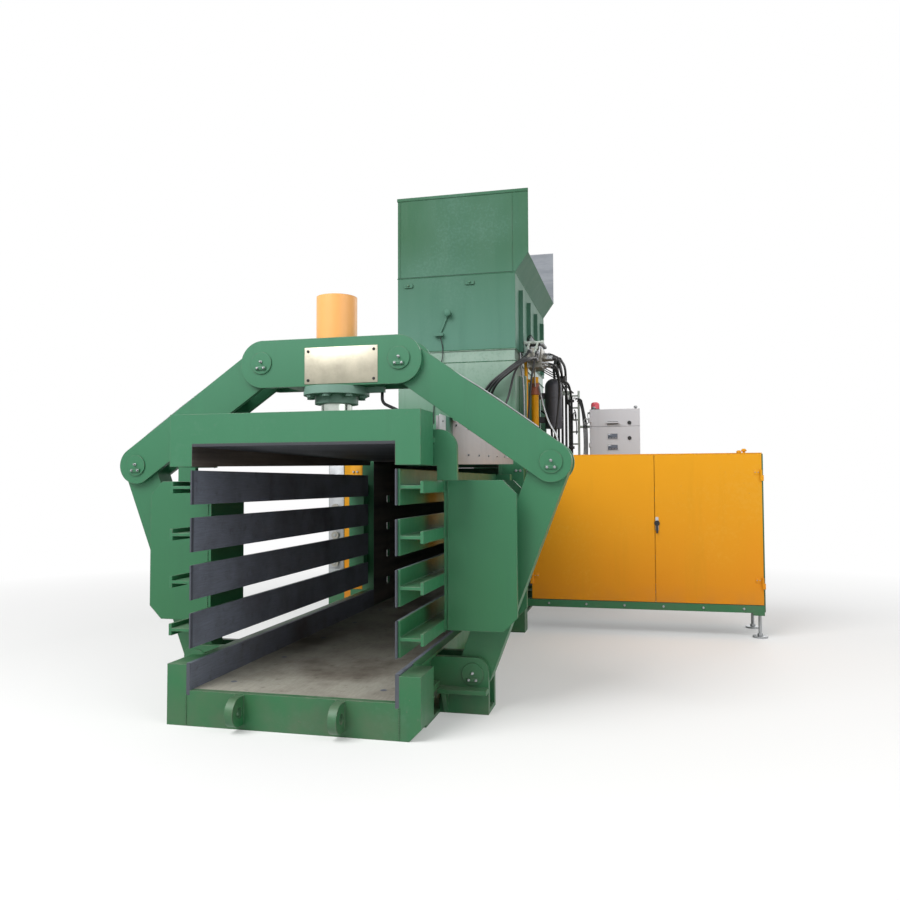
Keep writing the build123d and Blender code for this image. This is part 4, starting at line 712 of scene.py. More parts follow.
class StageLook(bpy.types.PropertyGroup):
    """Camera, lamps and floor."""

    lens: FloatProperty(
        name="Lens", description="Focal length in mm on a 36 mm sensor", default=32.0, min=10
    )
    eye: FloatVectorProperty(
        name="Eye",
        description="Place of the camera",
        subtype="TRANSLATION",
        unit="LENGTH",
        size=3,
        default=(1.713, -3.846, 1.235),
    )
    turn: FloatProperty(
        name="Turn",
        description="How far the camera looks to the left of the machine's length",
        subtype="ANGLE",
        default=math.radians(13.4),
    )
    tilt: FloatProperty(
        name="Tilt", description="How far it looks up", subtype="ANGLE", default=math.radians(2.4)
    )
    roll: FloatProperty(
        name="Roll", description="Lean of the camera", subtype="ANGLE", default=math.radians(0.2)
    )
    key: FloatProperty(name="Key lamp", description="Power in watts", default=1150.0, min=0)
    fill: FloatProperty(name="Fill lamp", description="Power in watts", default=230.0, min=0)
    sky: FloatProperty(name="Sky", description="Strength of the even light", default=0.42, min=0)


# Painted shade: how far the green paint is darkened towards the ground, standing in for light that
# falls from above
SHADED = (0.42, 0.7, 0.42)

# Where the painted shade on the front ends of the side doors' liners, the curbs and the wear plate
# ends: in front of these lines each plate is painted near black
SLAT_PAINTED_SHADE = -0.0985
CURB_PAINTED_SHADE = -0.1185
PLATEN_PAINTED_SHADE = -0.119

# Sides of a painted piece that have another look: which side, its dark and its pale shade
BALE_SIDE = (chamber_side, linear(42, 42, 44), linear(92, 86, 80))
# The hopper's rear wall: grey that is partly bare plate and partly painted reflection
FEED_SIDE = (feed_side, linear(128, 134, 142), linear(158, 162, 170))

# CAD nodes whose finish is not the one that their slot names
LOOKS = {
    "body_walls": "body_paint",
    "hopper_ring": "body_paint",
    "throat_plates": "body_paint",
    "level_switch": "hopper_green",
    "curb_liners": "curb_plate",
    "cable_ladder": "bright_zinc",
    "platen_wear_plate": "underside",
    "platen_side_covers": "cover_grey",
    "main_ram": "ram_paint",
}

FINISHED = {}


def finish(slot):
    """The material of a slot or of a small piece, made on its first use."""
    if slot in FINISHED:
        return FINISHED[slot]
    p = bpy.context.scene.baler_finishes
    recipes = {
        "green_paint": lambda: enamel("green_enamel", p.green, 0.75, low=SHADED, lined=BALE_SIDE),
        "body_paint": lambda: enamel(
            "body_enamel", p.green, 0.75, low=SHADED, lined=BALE_SIDE,
            haze=(1.75, 2.4, linear(150, 172, 160)),
        ),
        "hopper_green": lambda: enamel(
            "hopper_enamel", p.hopper, 0.45, 0.58, lined=FEED_SIDE, haze=(2.6, 3.5, p.crown)
        ),
        "worn_plate": lambda: rolled("worn_plate", p.floor, linear(72, 60, 48), 0.15, 0.5),
        "dark_liner": lambda: rolled(
            "dark_plate", p.slats, linear(48, 48, 54), 0.25, 0.42, lip=SLAT_PAINTED_SHADE
        ),
        "bright_zinc": lambda: enamel("bright_zinc", linear(188, 198, 190), 0.2, 0.3, 0.002, 0.05),
        "rust_paint": lambda: enamel("rust_primer", linear(150, 84, 60), 0.3, 0.45),
        "curb_plate": lambda: rolled(
            "curb_plate", p.slats, linear(60, 56, 52), 0.25, 0.42, lip=CURB_PAINTED_SHADE
        ),
        "ram_paint": lambda: enamel("scuffed_enamel", p.green, 1.0, low=SHADED),
        "underside": lambda: rolled(
            "dark_underside", linear(84, 88, 98), linear(44, 42, 46), 0.2, lip=PLATEN_PAINTED_SHADE
        ),
        "cover_grey": lambda: enamel("cover_grey", linear(158, 158, 160), 0.12, 0.4, 0.002, 0.1),
        "cylinder_steel": lambda: enamel("cylinder_enamel", p.cylinder, 0.5, 0.4),
        "orange_cover": lambda: enamel("orange_enamel", p.orange, 0.3, 0.3, 0.003, 0.1),
        # The chromed rod's green film tint is a painted reflection of the green paint around it
        "chromed_rod": lambda: turned(
            "chromed_rod", linear(200, 208, 200), 0.1, linear(96, 128, 104)
        ),
        # The yellow is darkened towards the ground by its own low factors as painted shade
        "yellow_paint": lambda: enamel(
            "yellow_enamel", p.yellow, 0.35, 0.42, 0.003, 0.12, low=(0.76, 0.52, 0.5),
            Specular_IOR_Level=0.3,
        ),
        "zinc_steel": lambda: turned("zinc_steel", linear(170, 172, 174), 0.35),
        "black_paint": lambda: enamel("black_enamel", linear(60, 60, 68), 0.4, 0.35),
        "black_plastic": lambda: moulded("black_plastic", linear(20, 20, 22), 0.38),
        "switch_grey": lambda: moulded("grey_plastic", linear(150, 154, 156), 0.45),
        "valve_steel": lambda: turned("valve_steel", linear(150, 148, 140), 0.32),
        "hose_rubber": lambda: moulded("hose_rubber", p.rubber, 0.42),
        "cabinet_grey": lambda: enamel("grey_powder_coat", p.grey, 0.12, 0.42, 0.002, 0.12),
        "beacon_red": lambda: moulded("red_dome", linear(236, 96, 110), 0.16, 0.0001),
        "tank_grey": lambda: enamel("tank_enamel", p.tank, 0.4, 0.42),
        "nickel": lambda: turned("nickel_plate", linear(190, 184, 166), 0.28),
        "brass": lambda: turned("brass", linear(176, 140, 76), 0.3),
        "screen": lambda: moulded("dark_screen", linear(74, 82, 98), 0.12, 0.0, Coat_Weight=1.0),
        "seal": lambda: moulded("door_seal", linear(16, 16, 17), 0.7),
        "bead": lambda: enamel("painted_weld", tone(p.green, 0.9), 0.2, 0.34, low=SHADED),
    }
    FINISHED[slot] = recipes[slot]()
    return FINISHED[slot]


class BALER_OT_paint_frame(bpy.types.Operator):
    """Give every CAD piece its paint, plate, plastic or rubber"""

    bl_idname = "baler.paint_frame"
    bl_label = "Paint the frame"

    def execute(self, context):
        for part in FRAME["record"]["subparts"]:
            mesh = NODES[part["node"]].data
            mesh.materials.clear()
            mesh.materials.append(finish(LOOKS.get(part["node"], part["material_slot"])))
        return {"FINISHED"}


class BALER_OT_nameplate(bpy.types.Operator):
    """Screw the blank metal plate to the crosshead"""

    bl_idname = "baler.nameplate"
    bl_label = "Blank plate"

    def execute(self, context):
        front = face("crosshead", "-y")
        low, high = (-0.146, 1.802), (0.292, 2.012)
        thick, inset = 0.003, 0.022
        plate = Shape().box((low[0], front - thick, low[1]), (high[0], front, high[1]), 0.001)
        plate.done("blank_plate", "crosshead", "zinc_steel", finish("nickel"))
        screws = Shape()
        for x in (low[0] + inset, high[0] - inset):
            for z in (low[1] + inset, high[1] - inset):
                screws.lathe(
                    (x, front - thick, z), FORWARD,
                    ((0.0085, 0), (0.0085, 0.002), (0.005, 0.005), (0.004, 0.005), (0.0035, 0.003),
                     (0, 0.003)), 16,
                )
        screws.done("plate_screws", "crosshead", "black_plastic")
        return {"FINISHED"}


class BALER_OT_pin_keepers(bpy.types.Operator):
    """Fit keeper bars and grease nipples to the ends of the linkage pins"""

    bl_idname = "baler.pin_keepers"
    bl_label = "Pin keepers"

    def execute(self, context):
        bracket_reach, bar = 0.112, 0.007
        for body, node, (x, z), sides in (
            ("right_lever", "right_knee_pin", KNEE_PIN, (1,)),
            ("left_lever", "left_knee_pin", KNEE_PIN, (-1,)),
            ("crosshead", "crosshead_pins", HEAD_PIN, (1, -1)),
            ("frame", "frame_pins", BASE_PIN, (1, -1)),
        ):
            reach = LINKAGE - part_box(node)[0].y if body != "frame" else bracket_reach
            bars, nipples, spots = Shape(), Shape(), []
            for side in sides:
                pin = side * x
                for way in (-1, 1):
                    end = LINKAGE + way * reach
                    cap = end + way * bar
                    bars.box(
                        (pin - 0.032, min(end, cap), z - 0.041),
                        (pin + 0.032, max(end, cap), z - 0.019), 0.0015,
                    )
                    spots += [
                        ((pin + step, cap, z - 0.03), (0, way, 0), 0.013) for step in (-0.02, 0.02)
                    ]
                    nipples.lathe(
                        (pin, end, z + 0.006), (0, way, 0),
                        ((0.008, 0), (0.008, 0.006), (0.0045, 0.007), (0.0045, 0.012),
                         (0.006, 0.014), (0.006, 0.018), (0.003, 0.021), (0, 0.021)), 12,
                    )
            bars.done(node + "_keepers", body, "green_paint", finish("bead"))
            nipples.done(node + "_nipples", body, "zinc_steel")
            bolts(node + "_keeper_bolts", body, "zinc_steel", spots, 4)
        return {"FINISHED"}


class BALER_OT_welds(bpy.types.Operator):
    """Lay the weld beads between the plates"""

    bl_idname = "baler.welds"
    bl_label = "Weld beads"

    def execute(self, context):
        paths = {body: [] for body in (
            "frame", "platen", "crosshead", "right_door", "left_door", "right_arm", "left_arm")}

        def seam(body, *points):
            paths[body].append(points)

        def upright(body, x, y, low, high):
            seam(body, (x, y, low), (x, y, high))

        def ribs(x, low, high):
            pitch = (HOPPER_REAR - HOPPER_FRONT) / 4
            for i in range(4):
                for edge in (-0.03, 0.03):
                    upright("frame", x, HOPPER_FRONT + (i + 0.5) * pitch + edge, low, high)

        curb, sill = face("curb_liners", "+x"), face("front_sill", "+x")
        sill_rear = CHAMBER_FRONT + 0.24
        skid = -face("base_frame", "-x")
        bracket, bracket_front = face("pivot_brackets", "+x") - 0.003, 0.405
        lug, lug_top = 0.27, 0.172
        skin, platen_top, plate_front, plate_rear = 1.47, face("top_platen", "+z"), 0.39, 0.63
        for _, side in reversed(SIDES):
            # Front sill, curb and towing lugs
            upright("frame", side * curb, CHAMBER_FRONT, 0.01, SKID_TOP)
            seam("frame", (side * curb, sill_rear, SKID_TOP), (side * sill, sill_rear, SKID_TOP))
            for edge in (-0.0225, 0.0225):
                upright("frame", side * lug + edge, CHAMBER_FRONT, 0.028, lug_top)
            seam("frame", (side * (lug - 0.0225), CHAMBER_FRONT, lug_top),
                 (side * (lug + 0.0225), CHAMBER_FRONT, lug_top))
            # Pivot brackets on the skids
            seam("frame", (side * skid, bracket_front, 0.142),
                 (side * bracket, bracket_front, 0.142))
            upright("frame", side * skid, bracket_front, 0.118, 0.01)
            upright("frame", side * 0.585, bracket_front, 0.172, 0.296)
            for y in ARM_PLATES:
                seam("frame", (side * 0.645, y, 0.024), (side * bracket, y, 0.024))
            # Portal, body ribs and hopper
            seam("frame", (side * face("hinge_portal", "+x"), BODY_FRONT, 0.01),
                 (side * skid, BODY_FRONT, 0.01))
            ribs(side * WALL, 0.2, 2.27)
            for z in (RING_FOOT, RING_TOP):
                seam("frame", (side * HOPPER_SIDE, HOPPER_FRONT, z),
                     (side * HOPPER_SIDE, HOPPER_REAR, z))
            ribs(side * HOPPER_SIDE, RING_TOP, 3.119)
            upright("frame", side * HOPPER_SIDE, HOPPER_REAR, 2.52, 3.23)
            seam("frame", (side * HOPPER_SIDE, HOPPER_FRONT, BOX_TOP),
                 (side * HOPPER_SIDE, HOPPER_REAR, BOX_TOP))
            # Stiffeners and pads of the platen, webs of the crosshead
            for edge in (-0.012, 0.012):
                x = side * 0.3 + edge
                seam("platen", (x, sill_rear, skin), (x, plate_front, skin))
                seam("platen", (x, plate_rear, skin), (x, 2.69, skin))
            seam("platen", (side * 0.4, plate_front, skin), (side * 0.4, plate_rear, skin))
            upright("platen", side * 0.4, plate_front, skin, platen_top)
            seam("platen", (side * 0.574, 0.15, 1.33), (side * 0.574, 0.15, 1.44))
            seam("platen", (side * sill, sill_rear, skin), (side * 0.574, sill_rear, skin))
            for y in (0.411, 0.609):
                for edge in (-0.012, 0.012):
                    upright("crosshead", side * 0.25 + edge, y, 1.8, 2.06)
        for y in (plate_front, plate_rear):
            seam("platen", (-0.4, y, skin), (0.4, y, skin))
        seam("platen", (-0.56, sill_rear, skin), (0.56, sill_rear, skin))
        for z in (RING_FOOT, RING_TOP, BOX_TOP):
            seam("frame", (-HOPPER_SIDE, HOPPER_FRONT, z), (HOPPER_SIDE, HOPPER_FRONT, z))
        for name, side in SIDES:
            door, arm, posts = name + "_door", name + "_arm", (0.316, 0.704)
            for top in (1.308, 1.062, 0.816, 0.57):
                for edge in (-0.008, 0.008):
                    z = top - 0.089 + edge
                    seam(door, (side * 0.57, -0.095, z), (side * 0.57, 2.54, z))
                for y in posts:
                    upright(door, side * 0.688, y, top - 0.118, top - 0.06)
            for y in posts:
                upright(door, side * 0.708, y, 0.46, 1.25)
            for y in ARM_PLATES:
                for lift in (-0.015, 0.015):
                    seam(arm, *(on_arm(side, run, lift, y) for run in (0.242, 0.777)))
        width = context.scene.baler_fittings.bead
        for body, lines in paths.items():
            chains(body + "_welds", "welds", body, "green_paint", lines, finish("bead"),
                   Pitch=width, Width=width)
        return {"FINISHED"}


class BALER_OT_plate_bolts(bpy.types.Operator):
    """Drive the bolts of the sills, portal, tank, ladder and cylinder, and sink the floor's"""

    bl_idname = "baler.plate_bolts"
    bl_label = "Bolts"

    def execute(self, context):
        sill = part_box("cabinet_frame")[0].y
        spots = [((0.95 + 0.31 * i, sill, 0.23), FORWARD, 0.016) for i in range(6)]
        for x in (0.7, 0.735):
            spots += [((x * side, BODY_FRONT, z), FORWARD, 0.02)
                      for z in (0.42, 1.34) for side in (-1, 1)]
        lid, motor_feet = 0.94, 1.0
        for i in range(5):
            spots += [((x, 6.3 + 0.35 * i, lid), UP, 0.014) for x in (0.742, 1.498)]
        for x in (0.99, 1.25):
            spots += [((x, y, motor_feet), UP, 0.018) for y in (7.06, 7.36)]
        spots += [((x, 4.82, z), FORWARD, 0.012)
                  for x in (0.976, 1.074) for z in (0.25, 0.9, 1.55, 2.15)]
        beam, axis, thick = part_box("rear_frame")[1].y, 0.805, 0.012
        ring = Shape().lathe((0, beam, axis), REARWARD, (
            (0.232, 0), (0.232, thick), (0.33, thick), (0.334, 0.008), (0.334, 0)), 64)
        ring.done("cylinder_ring", "frame", "green_paint")
        spots += [((x, beam + thick, axis + z), REARWARD, 0.036) for _, x, z in around(12, 0.285)]
        bolts("frame_bolts", "frame", "zinc_steel", spots, 8)

        dots = Shape()
        plate = face("chamber_floor", "+z")
        for i in range(5):
            for x in (-0.42, 0.42):
                dots.lathe((x, 0.1 + 0.62 * i, plate), UP, (
                    (0.017, 0), (0.017, 0.0006), (0.008, 0.0006), (0.007, 0.0002), (0, 0.0002)),
                    16)
        dots.done("floor_countersinks", "frame", "worn_plate", finish("dark_liner"))
        return {"FINISHED"}


class BALER_OT_platen_trim(bpy.types.Operator):
    """Fit the strips and knobs of the platen's side covers and the grease lines"""

    bl_idname = "baler.platen_trim"
    bl_label = "Platen trim"

    def execute(self, context):
        for name, side in SIDES:
            out = side * face("platen_side_covers", "+x")

            def plate(shape, low_y, high_y, low_z, high_z, thickness, bevel=0.001):
                faces = sorted((out, out + side * thickness))
                shape.box((faces[0], low_y, low_z), (faces[1], high_y, high_z), bevel)

            strip = Shape()
            plate(strip, 0.345, 0.5, 1.375, 1.6, 0.003)
            strip.done(name + "_cover_strip", "platen", "green_paint", finish("hopper_green"))
            patch = Shape()
            plate(patch, 0.2, 0.335, 1.37, 1.6, 0.003)
            plate(patch, 2.34, 2.66, 1.436, 1.52, 0.005)
            patch.done(name + "_cover_hatches", "platen", "cabinet_grey")
            knob = Shape().lathe(
                (out + side * 0.005, 2.49, 1.478), (side, 0, 0),
                ((0.012, 0), (0.012, 0.012), (0.024, 0.016), (0.026, 0.03), (0.022, 0.038),
                 (0, 0.04)), 20,
            )
            knob.done(name + "_hatch_knob", "platen", "black_plastic")
            spots = []
            for y in (0.26 + 0.33 * i for i in range(8)):
                rows = (1.566, 1.39 + 0.0232 * (y - 0.12))
                spots += [((out, y, z), (side, 0, 0), 0.013) for z in rows]
            bolts(name + "_cover_bolts", "platen", "zinc_steel", spots, 12)
        for name, side in SIDES:
            body = name + "_arm"
            bends = ((0.24, 0.104), (0.5, 0.116), (0.76, 0.116), (0.86, 0.114))
            line = [on_arm(side, run, lift, 0.428) for run, lift in bends]
            chains(body + "_grease_line", "hoses", body, "zinc_steel", [line],
                   Radius=context.scene.baler_fittings.grease_line, Sides=8)
        return {"FINISHED"}


def valve_plate():
    """The left, right, front and rear edges of the plate under the valves, and its height."""
    low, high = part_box("valve_block")
    return low.x + 0.07, low.x + 0.21, low.y + 0.042, low.y + 0.342, high.z


class BALER_OT_valve_trim(bpy.types.Operator):
    """Stack the solenoids, fittings and pipe tees on the valve block"""

    bl_idname = "baler.valve_trim"
    bl_label = "Valve trim"

    def execute(self, context):
        x0, x1, y0, y1, top = valve_plate()
        foot, coil_top, plug_top = top + 0.014, top + 0.07, top + 0.1
        coils, metal, plugs = Shape(), Shape(), Shape()
        for y in (y0 + FIRST_VALVE + i * VALVE_PITCH for i in range(4)):
            coils.box((x0 + 0.012, y - 0.022, foot), (x1 - 0.012, y + 0.022, coil_top), 0.004)
            plugs.box((x0 + 0.02, y - 0.014, coil_top), (x0 + 0.05, y + 0.014, plug_top), 0.003)
            plugs.lathe((x0 + 0.035, y, plug_top), UP, (
                (0.007, 0), (0.009, 0.004), (0.009, 0.016), (0.006, 0.02), (0, 0.02)), 12)
            for side, x in ((-1, x0 + 0.012), (1, x1 - 0.012)):
                metal.lathe((x, y, top + 0.042), (side, 0, 0), (
                    (0.016, 0), (0.016, 0.028), (0.012, 0.032), (0.007, 0.036), (0, 0.036)), 18)
        metal.box((x0, y0, top), (x1, y1, foot), 0.002)
        for place, way in (
            ((x0 + 0.03, y0, top - 0.03), FORWARD),
            ((x0 + 0.1, y0, top - 0.05), FORWARD),
            ((x1, y1 - 0.06, top - 0.03), RIGHT),
            ((x1, y0 + 0.03, top - 0.15), RIGHT),
            ((x1, y1 - 0.04, top - 0.15), RIGHT),
        ):
            metal.lathe(place, way, (
                (0.022, 0), (0.022, 0.004), (0.017, 0.004), (0.017, 0.022), (0.012, 0.024),
                (0.012, 0.036), (0.016, 0.038), (0.016, 0.056), (0.009, 0.058), (0, 0.058)), 6)
        coils.done("solenoid_coils", "frame", "black_plastic")
        plugs.done("solenoid_plugs", "frame", "switch_grey")
        metal.done("valve_fittings", "frame", "valve_steel", finish("zinc_steel"))

        tees = Shape()
        pipe, nut = 0.011, 0.017
        for x, lean in ((x0 + 0.03, 0.35), (x1 - 0.03, 0.3)):
            stem = Vector((-lean, 0, -1)).normalized()
            end = Vector((x, y0 - 0.03, top + 0.05))
            tees.rod(end, stem, pipe, 0.11)
            tees.rod(end + stem * 0.045, stem, nut, 0.024, 6)
            tees.rod(end - Vector((0.042, 0, 0)), RIGHT, pipe, 0.084)
            for side in (-1, 1):
                tees.rod(end + Vector((0.03 * side, 0, 0)), (side, 0, 0), nut, 0.026, 6)
        tees.done("pipe_tees", "frame", "zinc_steel", finish("bright_zinc"))
        return {"FINISHED"}


def hose_routes():
    """The two hoses down from the valves to the body, then the three towards the ladder."""
    x0, x1, y0, y1, top = valve_plate()
    deep = LADDER + 0.045
    return [
        [(x0 + 0.03, y0 - 0.05, top - 0.03), (x0 + 0.02, y0 - 0.12, top - 0.07),
         (0.58, 3.58, top - 0.26), (0.52, 3.54, top - 0.5), (0.45, 3.5, 1.84),
         (0.44, 3.52, 1.68), (0.44, 3.56, 1.655), (0.44, 3.59, 1.65)],
        [(x0 + 0.1, y0 - 0.05, top - 0.05), (x0 + 0.1, y0 - 0.12, top - 0.09),
         (x0 + 0.06, y0 - 0.16, top - 0.34), (x0 + 0.02, y0 - 0.1, top - 0.75),
         (0.68, 3.8, 1.6), (0.66, 3.78, 1.3), (0.62, 3.77, 1.2), (0.58, 3.77, 1.19)],
        [(x1 + 0.05, y1 - 0.06, top - 0.03), (x1 + 0.12, y1 - 0.03, top - 0.07),
         (0.939, 4.5, 2.33), (0.985, 4.66, 2.27), (1.0, LADDER - 0.02, 2.16),
         (1.002, LADDER + 0.03, 2.05), (1.002, deep, 1.0), (1.002, deep, 0.11)],
        [(x1 + 0.05, y1 - 0.04, top - 0.15), (x1 + 0.1, y1 + 0.01, top - 0.17),
         (0.9, 4.5, 2.3), (0.95, 4.66, 2.22), (0.962, LADDER - 0.02, 2.1),
         (0.985, LADDER + 0.035, 1.96), (0.985, deep, 1.0), (0.985, deep, 0.11)],
        [(x1 + 0.05, y0 + 0.03, top - 0.15), (x1 + 0.14, y0 + 0.06, top - 0.2),
         (0.93, 4.2, 2.14), (0.88, 4.24, 1.72), (0.84, 4.34, 1.7), (0.8, 4.5, 1.9),
         (0.7, 4.6, 2.0)],
    ]


class BALER_OT_hoses(bpy.types.Operator):
    """Run the smaller hoses and the steel pipes from the valves and clamp them"""

    bl_idname = "baler.hoses"
    bl_label = "Hoses and pipes"

    def execute(self, context):
        sizes = context.scene.baler_fittings
        routes = hose_routes()
        chains("valve_hoses", "hoses", "frame", "hose_rubber", routes[:2],
               Radius=sizes.valve_hose)
        chains("ladder_hoses", "hoses", "frame", "hose_rubber", routes[2:],
               Radius=sizes.ladder_hose)
        _, x1, y0, _, top = valve_plate()
        pipes = [
            [(0.59, 3.83, 2.5), (0.605, 3.8, 2.36), (0.622, 3.8, 2.2), (0.63, 3.8, 1.9),
             (0.632, 3.8, 1.1), (0.632, 3.8, 0.62), (0.61, 3.8, 0.53), (0.572, 3.8, 0.51)],
            [(x1 - 0.01, y0 - 0.022, top + 0.01), (x1 - 0.03, y0 - 0.03, top - 0.1),
             (0.71, 3.99, 2.36), (0.7, 4.05, 2.27), (0.698, 4.09, 2.2)],
            [(0.735, 4.12, 2.2), (0.78, 4.05, 2.02), (0.84, 4.0, 1.84), (0.93, 3.96, 1.66),
             (0.93, 3.96, 1.4), (0.85, 3.97, 1.2), (0.7, 3.97, 1.13), (0.572, 3.97, 1.12)],
        ]
        chains("steel_pipes", "hoses", "frame", "zinc_steel", pipes, Radius=sizes.steel_pipe)
        tie = Shape()
        tie.box((0.885, 4.488, 2.285), (0.965, 4.512, 2.35), 0.004)
        for z in (2.1, 1.6, 1.1):
            tie.box((0.965, LADDER + 0.005, z), (1.03, LADDER + 0.02, z + 0.03), 0.003)
        tie.done("hose_clamps", "frame", "black_plastic")
        collar = Shape().lathe((0.69, 4.151, 2.12), UP, (
            (0.036, 0), (0.05, 0.004), (0.05, 0.05), (0.045, 0.058), (0.045, 0.11), (0.036, 0.12)),
            28)
        collar.done("pipe_collar", "frame", "yellow_paint", finish("rust_paint"))
        return {"FINISHED"}


class BALER_OT_cables(bpy.types.Operator):
    """Run the control cables over the ladder into the electric cabinet's glands"""

    bl_idname = "baler.cables"
    bl_label = "Control cables"

    def execute(self, context):
        x0, _, y0, y1, top = valve_plate()
        rear = LADDER
        side = face("control_cabinet", "-x") + 0.009
        cables = []
        for i in range(4):
            x = 1.128 + 0.012 * i
            cables.append([
                (1.02 + 0.02 * i, rear + 0.05, 2.15 - 0.02 * i), (1.07 + 0.012 * i, rear, 2.13),
                (x - 0.02, rear - 0.006, 2.02 - 0.02 * i), (x, rear - 0.02, 1.84),
                (x + 0.006, rear - 0.026, 1.62), (x - 0.004, rear - 0.02, 1.36 - 0.05 * i),
                (1.155, rear + 0.02, 1.2 - 0.07 * i), (side, rear + 0.06, 1.18 - 0.07 * i),
            ])
        for i in range(3):
            y = y0 + FIRST_VALVE + (i + 1) * VALVE_PITCH
            cables.append([
                (x0 + 0.035, y, top + 0.12), (x0 + 0.02, y + 0.01, top + 0.15),
                (x0 - 0.02, y + 0.06, top + 0.12), (x0 - 0.03, y1 + 0.1, top + 0.02),
                (x0 + 0.02, 4.5, top - 0.06 - 0.02 * i), (0.9, 4.68, top - 0.2 - 0.02 * i),
                (1.0 + 0.012 * i, rear + 0.03, 2.2),
            ])
        cables.append([(1.03, rear + 0.04, 2.02), (1.05, rear - 0.01, 1.97),
                       (1.045, rear - 0.02, 1.9), (1.02, rear - 0.01, 1.93),
                       (1.03, rear, 2.0), (1.055, rear, 1.86), (1.05, rear + 0.04, 1.76)])
        chains("control_cables", "hoses", "frame", "hose_rubber", cables,
               Radius=context.scene.baler_fittings.cable, Sides=10)
        loop = [(1.16 + 0.024 * math.cos(0.7 * i), rear - 0.034 - 0.0022 * i,
                 1.885 + 0.03 * math.sin(0.7 * i)) for i in range(26)]
        chains("cable_coil", "hoses", "frame", "switch_grey", [
            [(side, rear + 0.07, 1.985), (1.176, rear + 0.05, 1.985), (1.172, rear, 1.96), *loop]],
            Radius=0.0042, Sides=8, Step=0.012)
        glands = Shape()
        for z in (1.985, 1.18, 1.11, 1.04, 0.97):
            glands.lathe((side, rear + (0.07 if z > 1.9 else 0.06), z), LEFT, (
                (0.014, 0), (0.014, 0.006), (0.011, 0.008), (0.011, 0.02), (0.0056, 0.024)), 6)
        glands.done("cable_glands", "frame", "black_plastic")
        return {"FINISHED"}


class BALER_OT_ferrules(bpy.types.Operator):
    """Crimp the ferrules on the ends of the hoses"""

    bl_idname = "baler.ferrules"
    bl_label = "Hose ferrules"

    def execute(self, context):
        ferrules = Shape()

        def ferrule(place, way, radius):
            ferrules.lathe(place, way, [(radius * a, radius * b) for a, b in (
                (1.35, 0), (1.35, 0.8), (1.1, 1), (1.28, 1.3), (1.28, 3.6), (1.12, 4),
                (1.02, 4))], 20)

        thin, thick, pitch = 0.011, context.scene.baler_fittings.main_hose, 0.04
        for start, bend, *_ in hose_routes():
            ferrule(start, Vector(bend) - Vector(start), thin)
        ferrule((0.44, HOPPER_FRONT, 1.65), FORWARD, thin)
        ferrule((WALL, 3.77, 1.19), RIGHT, thin)
        low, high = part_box("valve_block")
        for i in range(3):
            ferrule((low.x + 0.09 + pitch * i, low.y, high.z - 0.125), FORWARD, thick)
            ferrule((0.26 + pitch * i, 3.567, 1.935), UP, thick)
        for i in range(4):
            lift = 0.02 * (i % 2)
            ferrule((high.x, low.y + 0.132 + pitch * i, high.z - 0.095 + lift), RIGHT, thick)
        ferrules.done("hose_ferrules", "frame", "zinc_steel")
        return {"FINISHED"}


class BALER_OT_squeeze_hose(bpy.types.Operator):
    """Swap the squeeze cylinder's hose for a copy of it whose doubled corners are merged"""

    bl_idname = "baler.squeeze_hose"
    bl_label = "Squeeze hose"

    def execute(self, context):
        flexing = bmesh.new()
        flexing.from_mesh(NODES["squeeze_hose"].data)
        bmesh.ops.remove_doubles(flexing, verts=flexing.verts, dist=1e-5)
        mesh = bpy.data.meshes.new("flexing_hose")
        flexing.to_mesh(mesh)
        flexing.free()
        mesh.shade_smooth()
        mesh.materials.append(finish("hose_rubber"))
        hose = bpy.data.objects.new("flexing_hose", mesh)
        context.scene.collection.objects.link(hose)
        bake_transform(hose)
        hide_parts("squeeze_hose")
        return {"FINISHED"}


class BALER_OT_control_trim(bpy.types.Operator):
    """Fit the meters, handle recess, seals, roof eyes and vents of the electric cabinet"""

    bl_idname = "baler.control_trim"
    bl_label = "Electric cabinet trim"

    def execute(self, context):
        front = 4.805
        screens, bezels = Shape(), Shape()
        for z in (1.612, 1.731):
            screens.box((1.38, front - 0.002, z - 0.026), (1.48, front, z + 0.026), 0.0005)
            for i in range(3):
                bezels.box((1.392 + 0.03 * i, front - 0.0028, z - 0.018),
                           (1.412 + 0.03 * i, front - 0.002, z - 0.013), 0.0004)
        screens.done("meter_screens", "lower_control_door", "black_plastic", finish("screen"))
        bezels.done("meter_keys", "lower_control_door", "switch_grey")
        recess = Shape().box((1.374, front - 0.0015, 1.856), (1.486, front, 1.888), 0.0005)
        recess.done("handle_recess", "upper_control_door", "black_plastic")
        vents = Shape()
        for i in range(9):
            z = 0.4 + 0.022 * i
            vents.box((1.36, front - 0.004, z), (1.54, front, z + 0.01), 0.0015,
                      Matrix.Rotation(0.35, 3, "X"))
        vents.done("lower_door_vents", "lower_control_door", "cabinet_grey")
        for node in ("upper_control_door", "lower_control_door"):
            low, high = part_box(node)
            seal = Shape()
            for x in (1.194, 1.706):
                seal.box((x, 4.826, low.z + 0.004), (x + 0.004, 4.8325, high.z - 0.004), 0)
            seal.done(node + "_seal", node, "black_plastic", finish("seal"))
        eyes = Shape()
        roof = face("control_cabinet", "+z")
        for x in (1.23, 1.67):
            for y in (4.87, 5.14):
                eyes.lathe((x, y, roof), UP, (
                    (0.013, 0), (0.013, 0.005), (0.008, 0.007), (0.008, 0.012),
                    (0.019, 0.016), (0.021, 0.026), (0.012, 0.036), (0, 0.038)), 16)
        eyes.done("roof_eyes", "frame", "zinc_steel")
        rear = Shape()
        side = face("control_cabinet", "+x")
        for i in range(12):
            z = 0.5 + 0.03 * i
            rear.box((side, 5.24, z), (side + 0.007, 5.42, z + 0.014), 0.002,
                     Matrix.Rotation(-0.4, 3, "Y"))
        rear.done("rear_box_vents", "frame", "cabinet_grey")
        return {"FINISHED"}


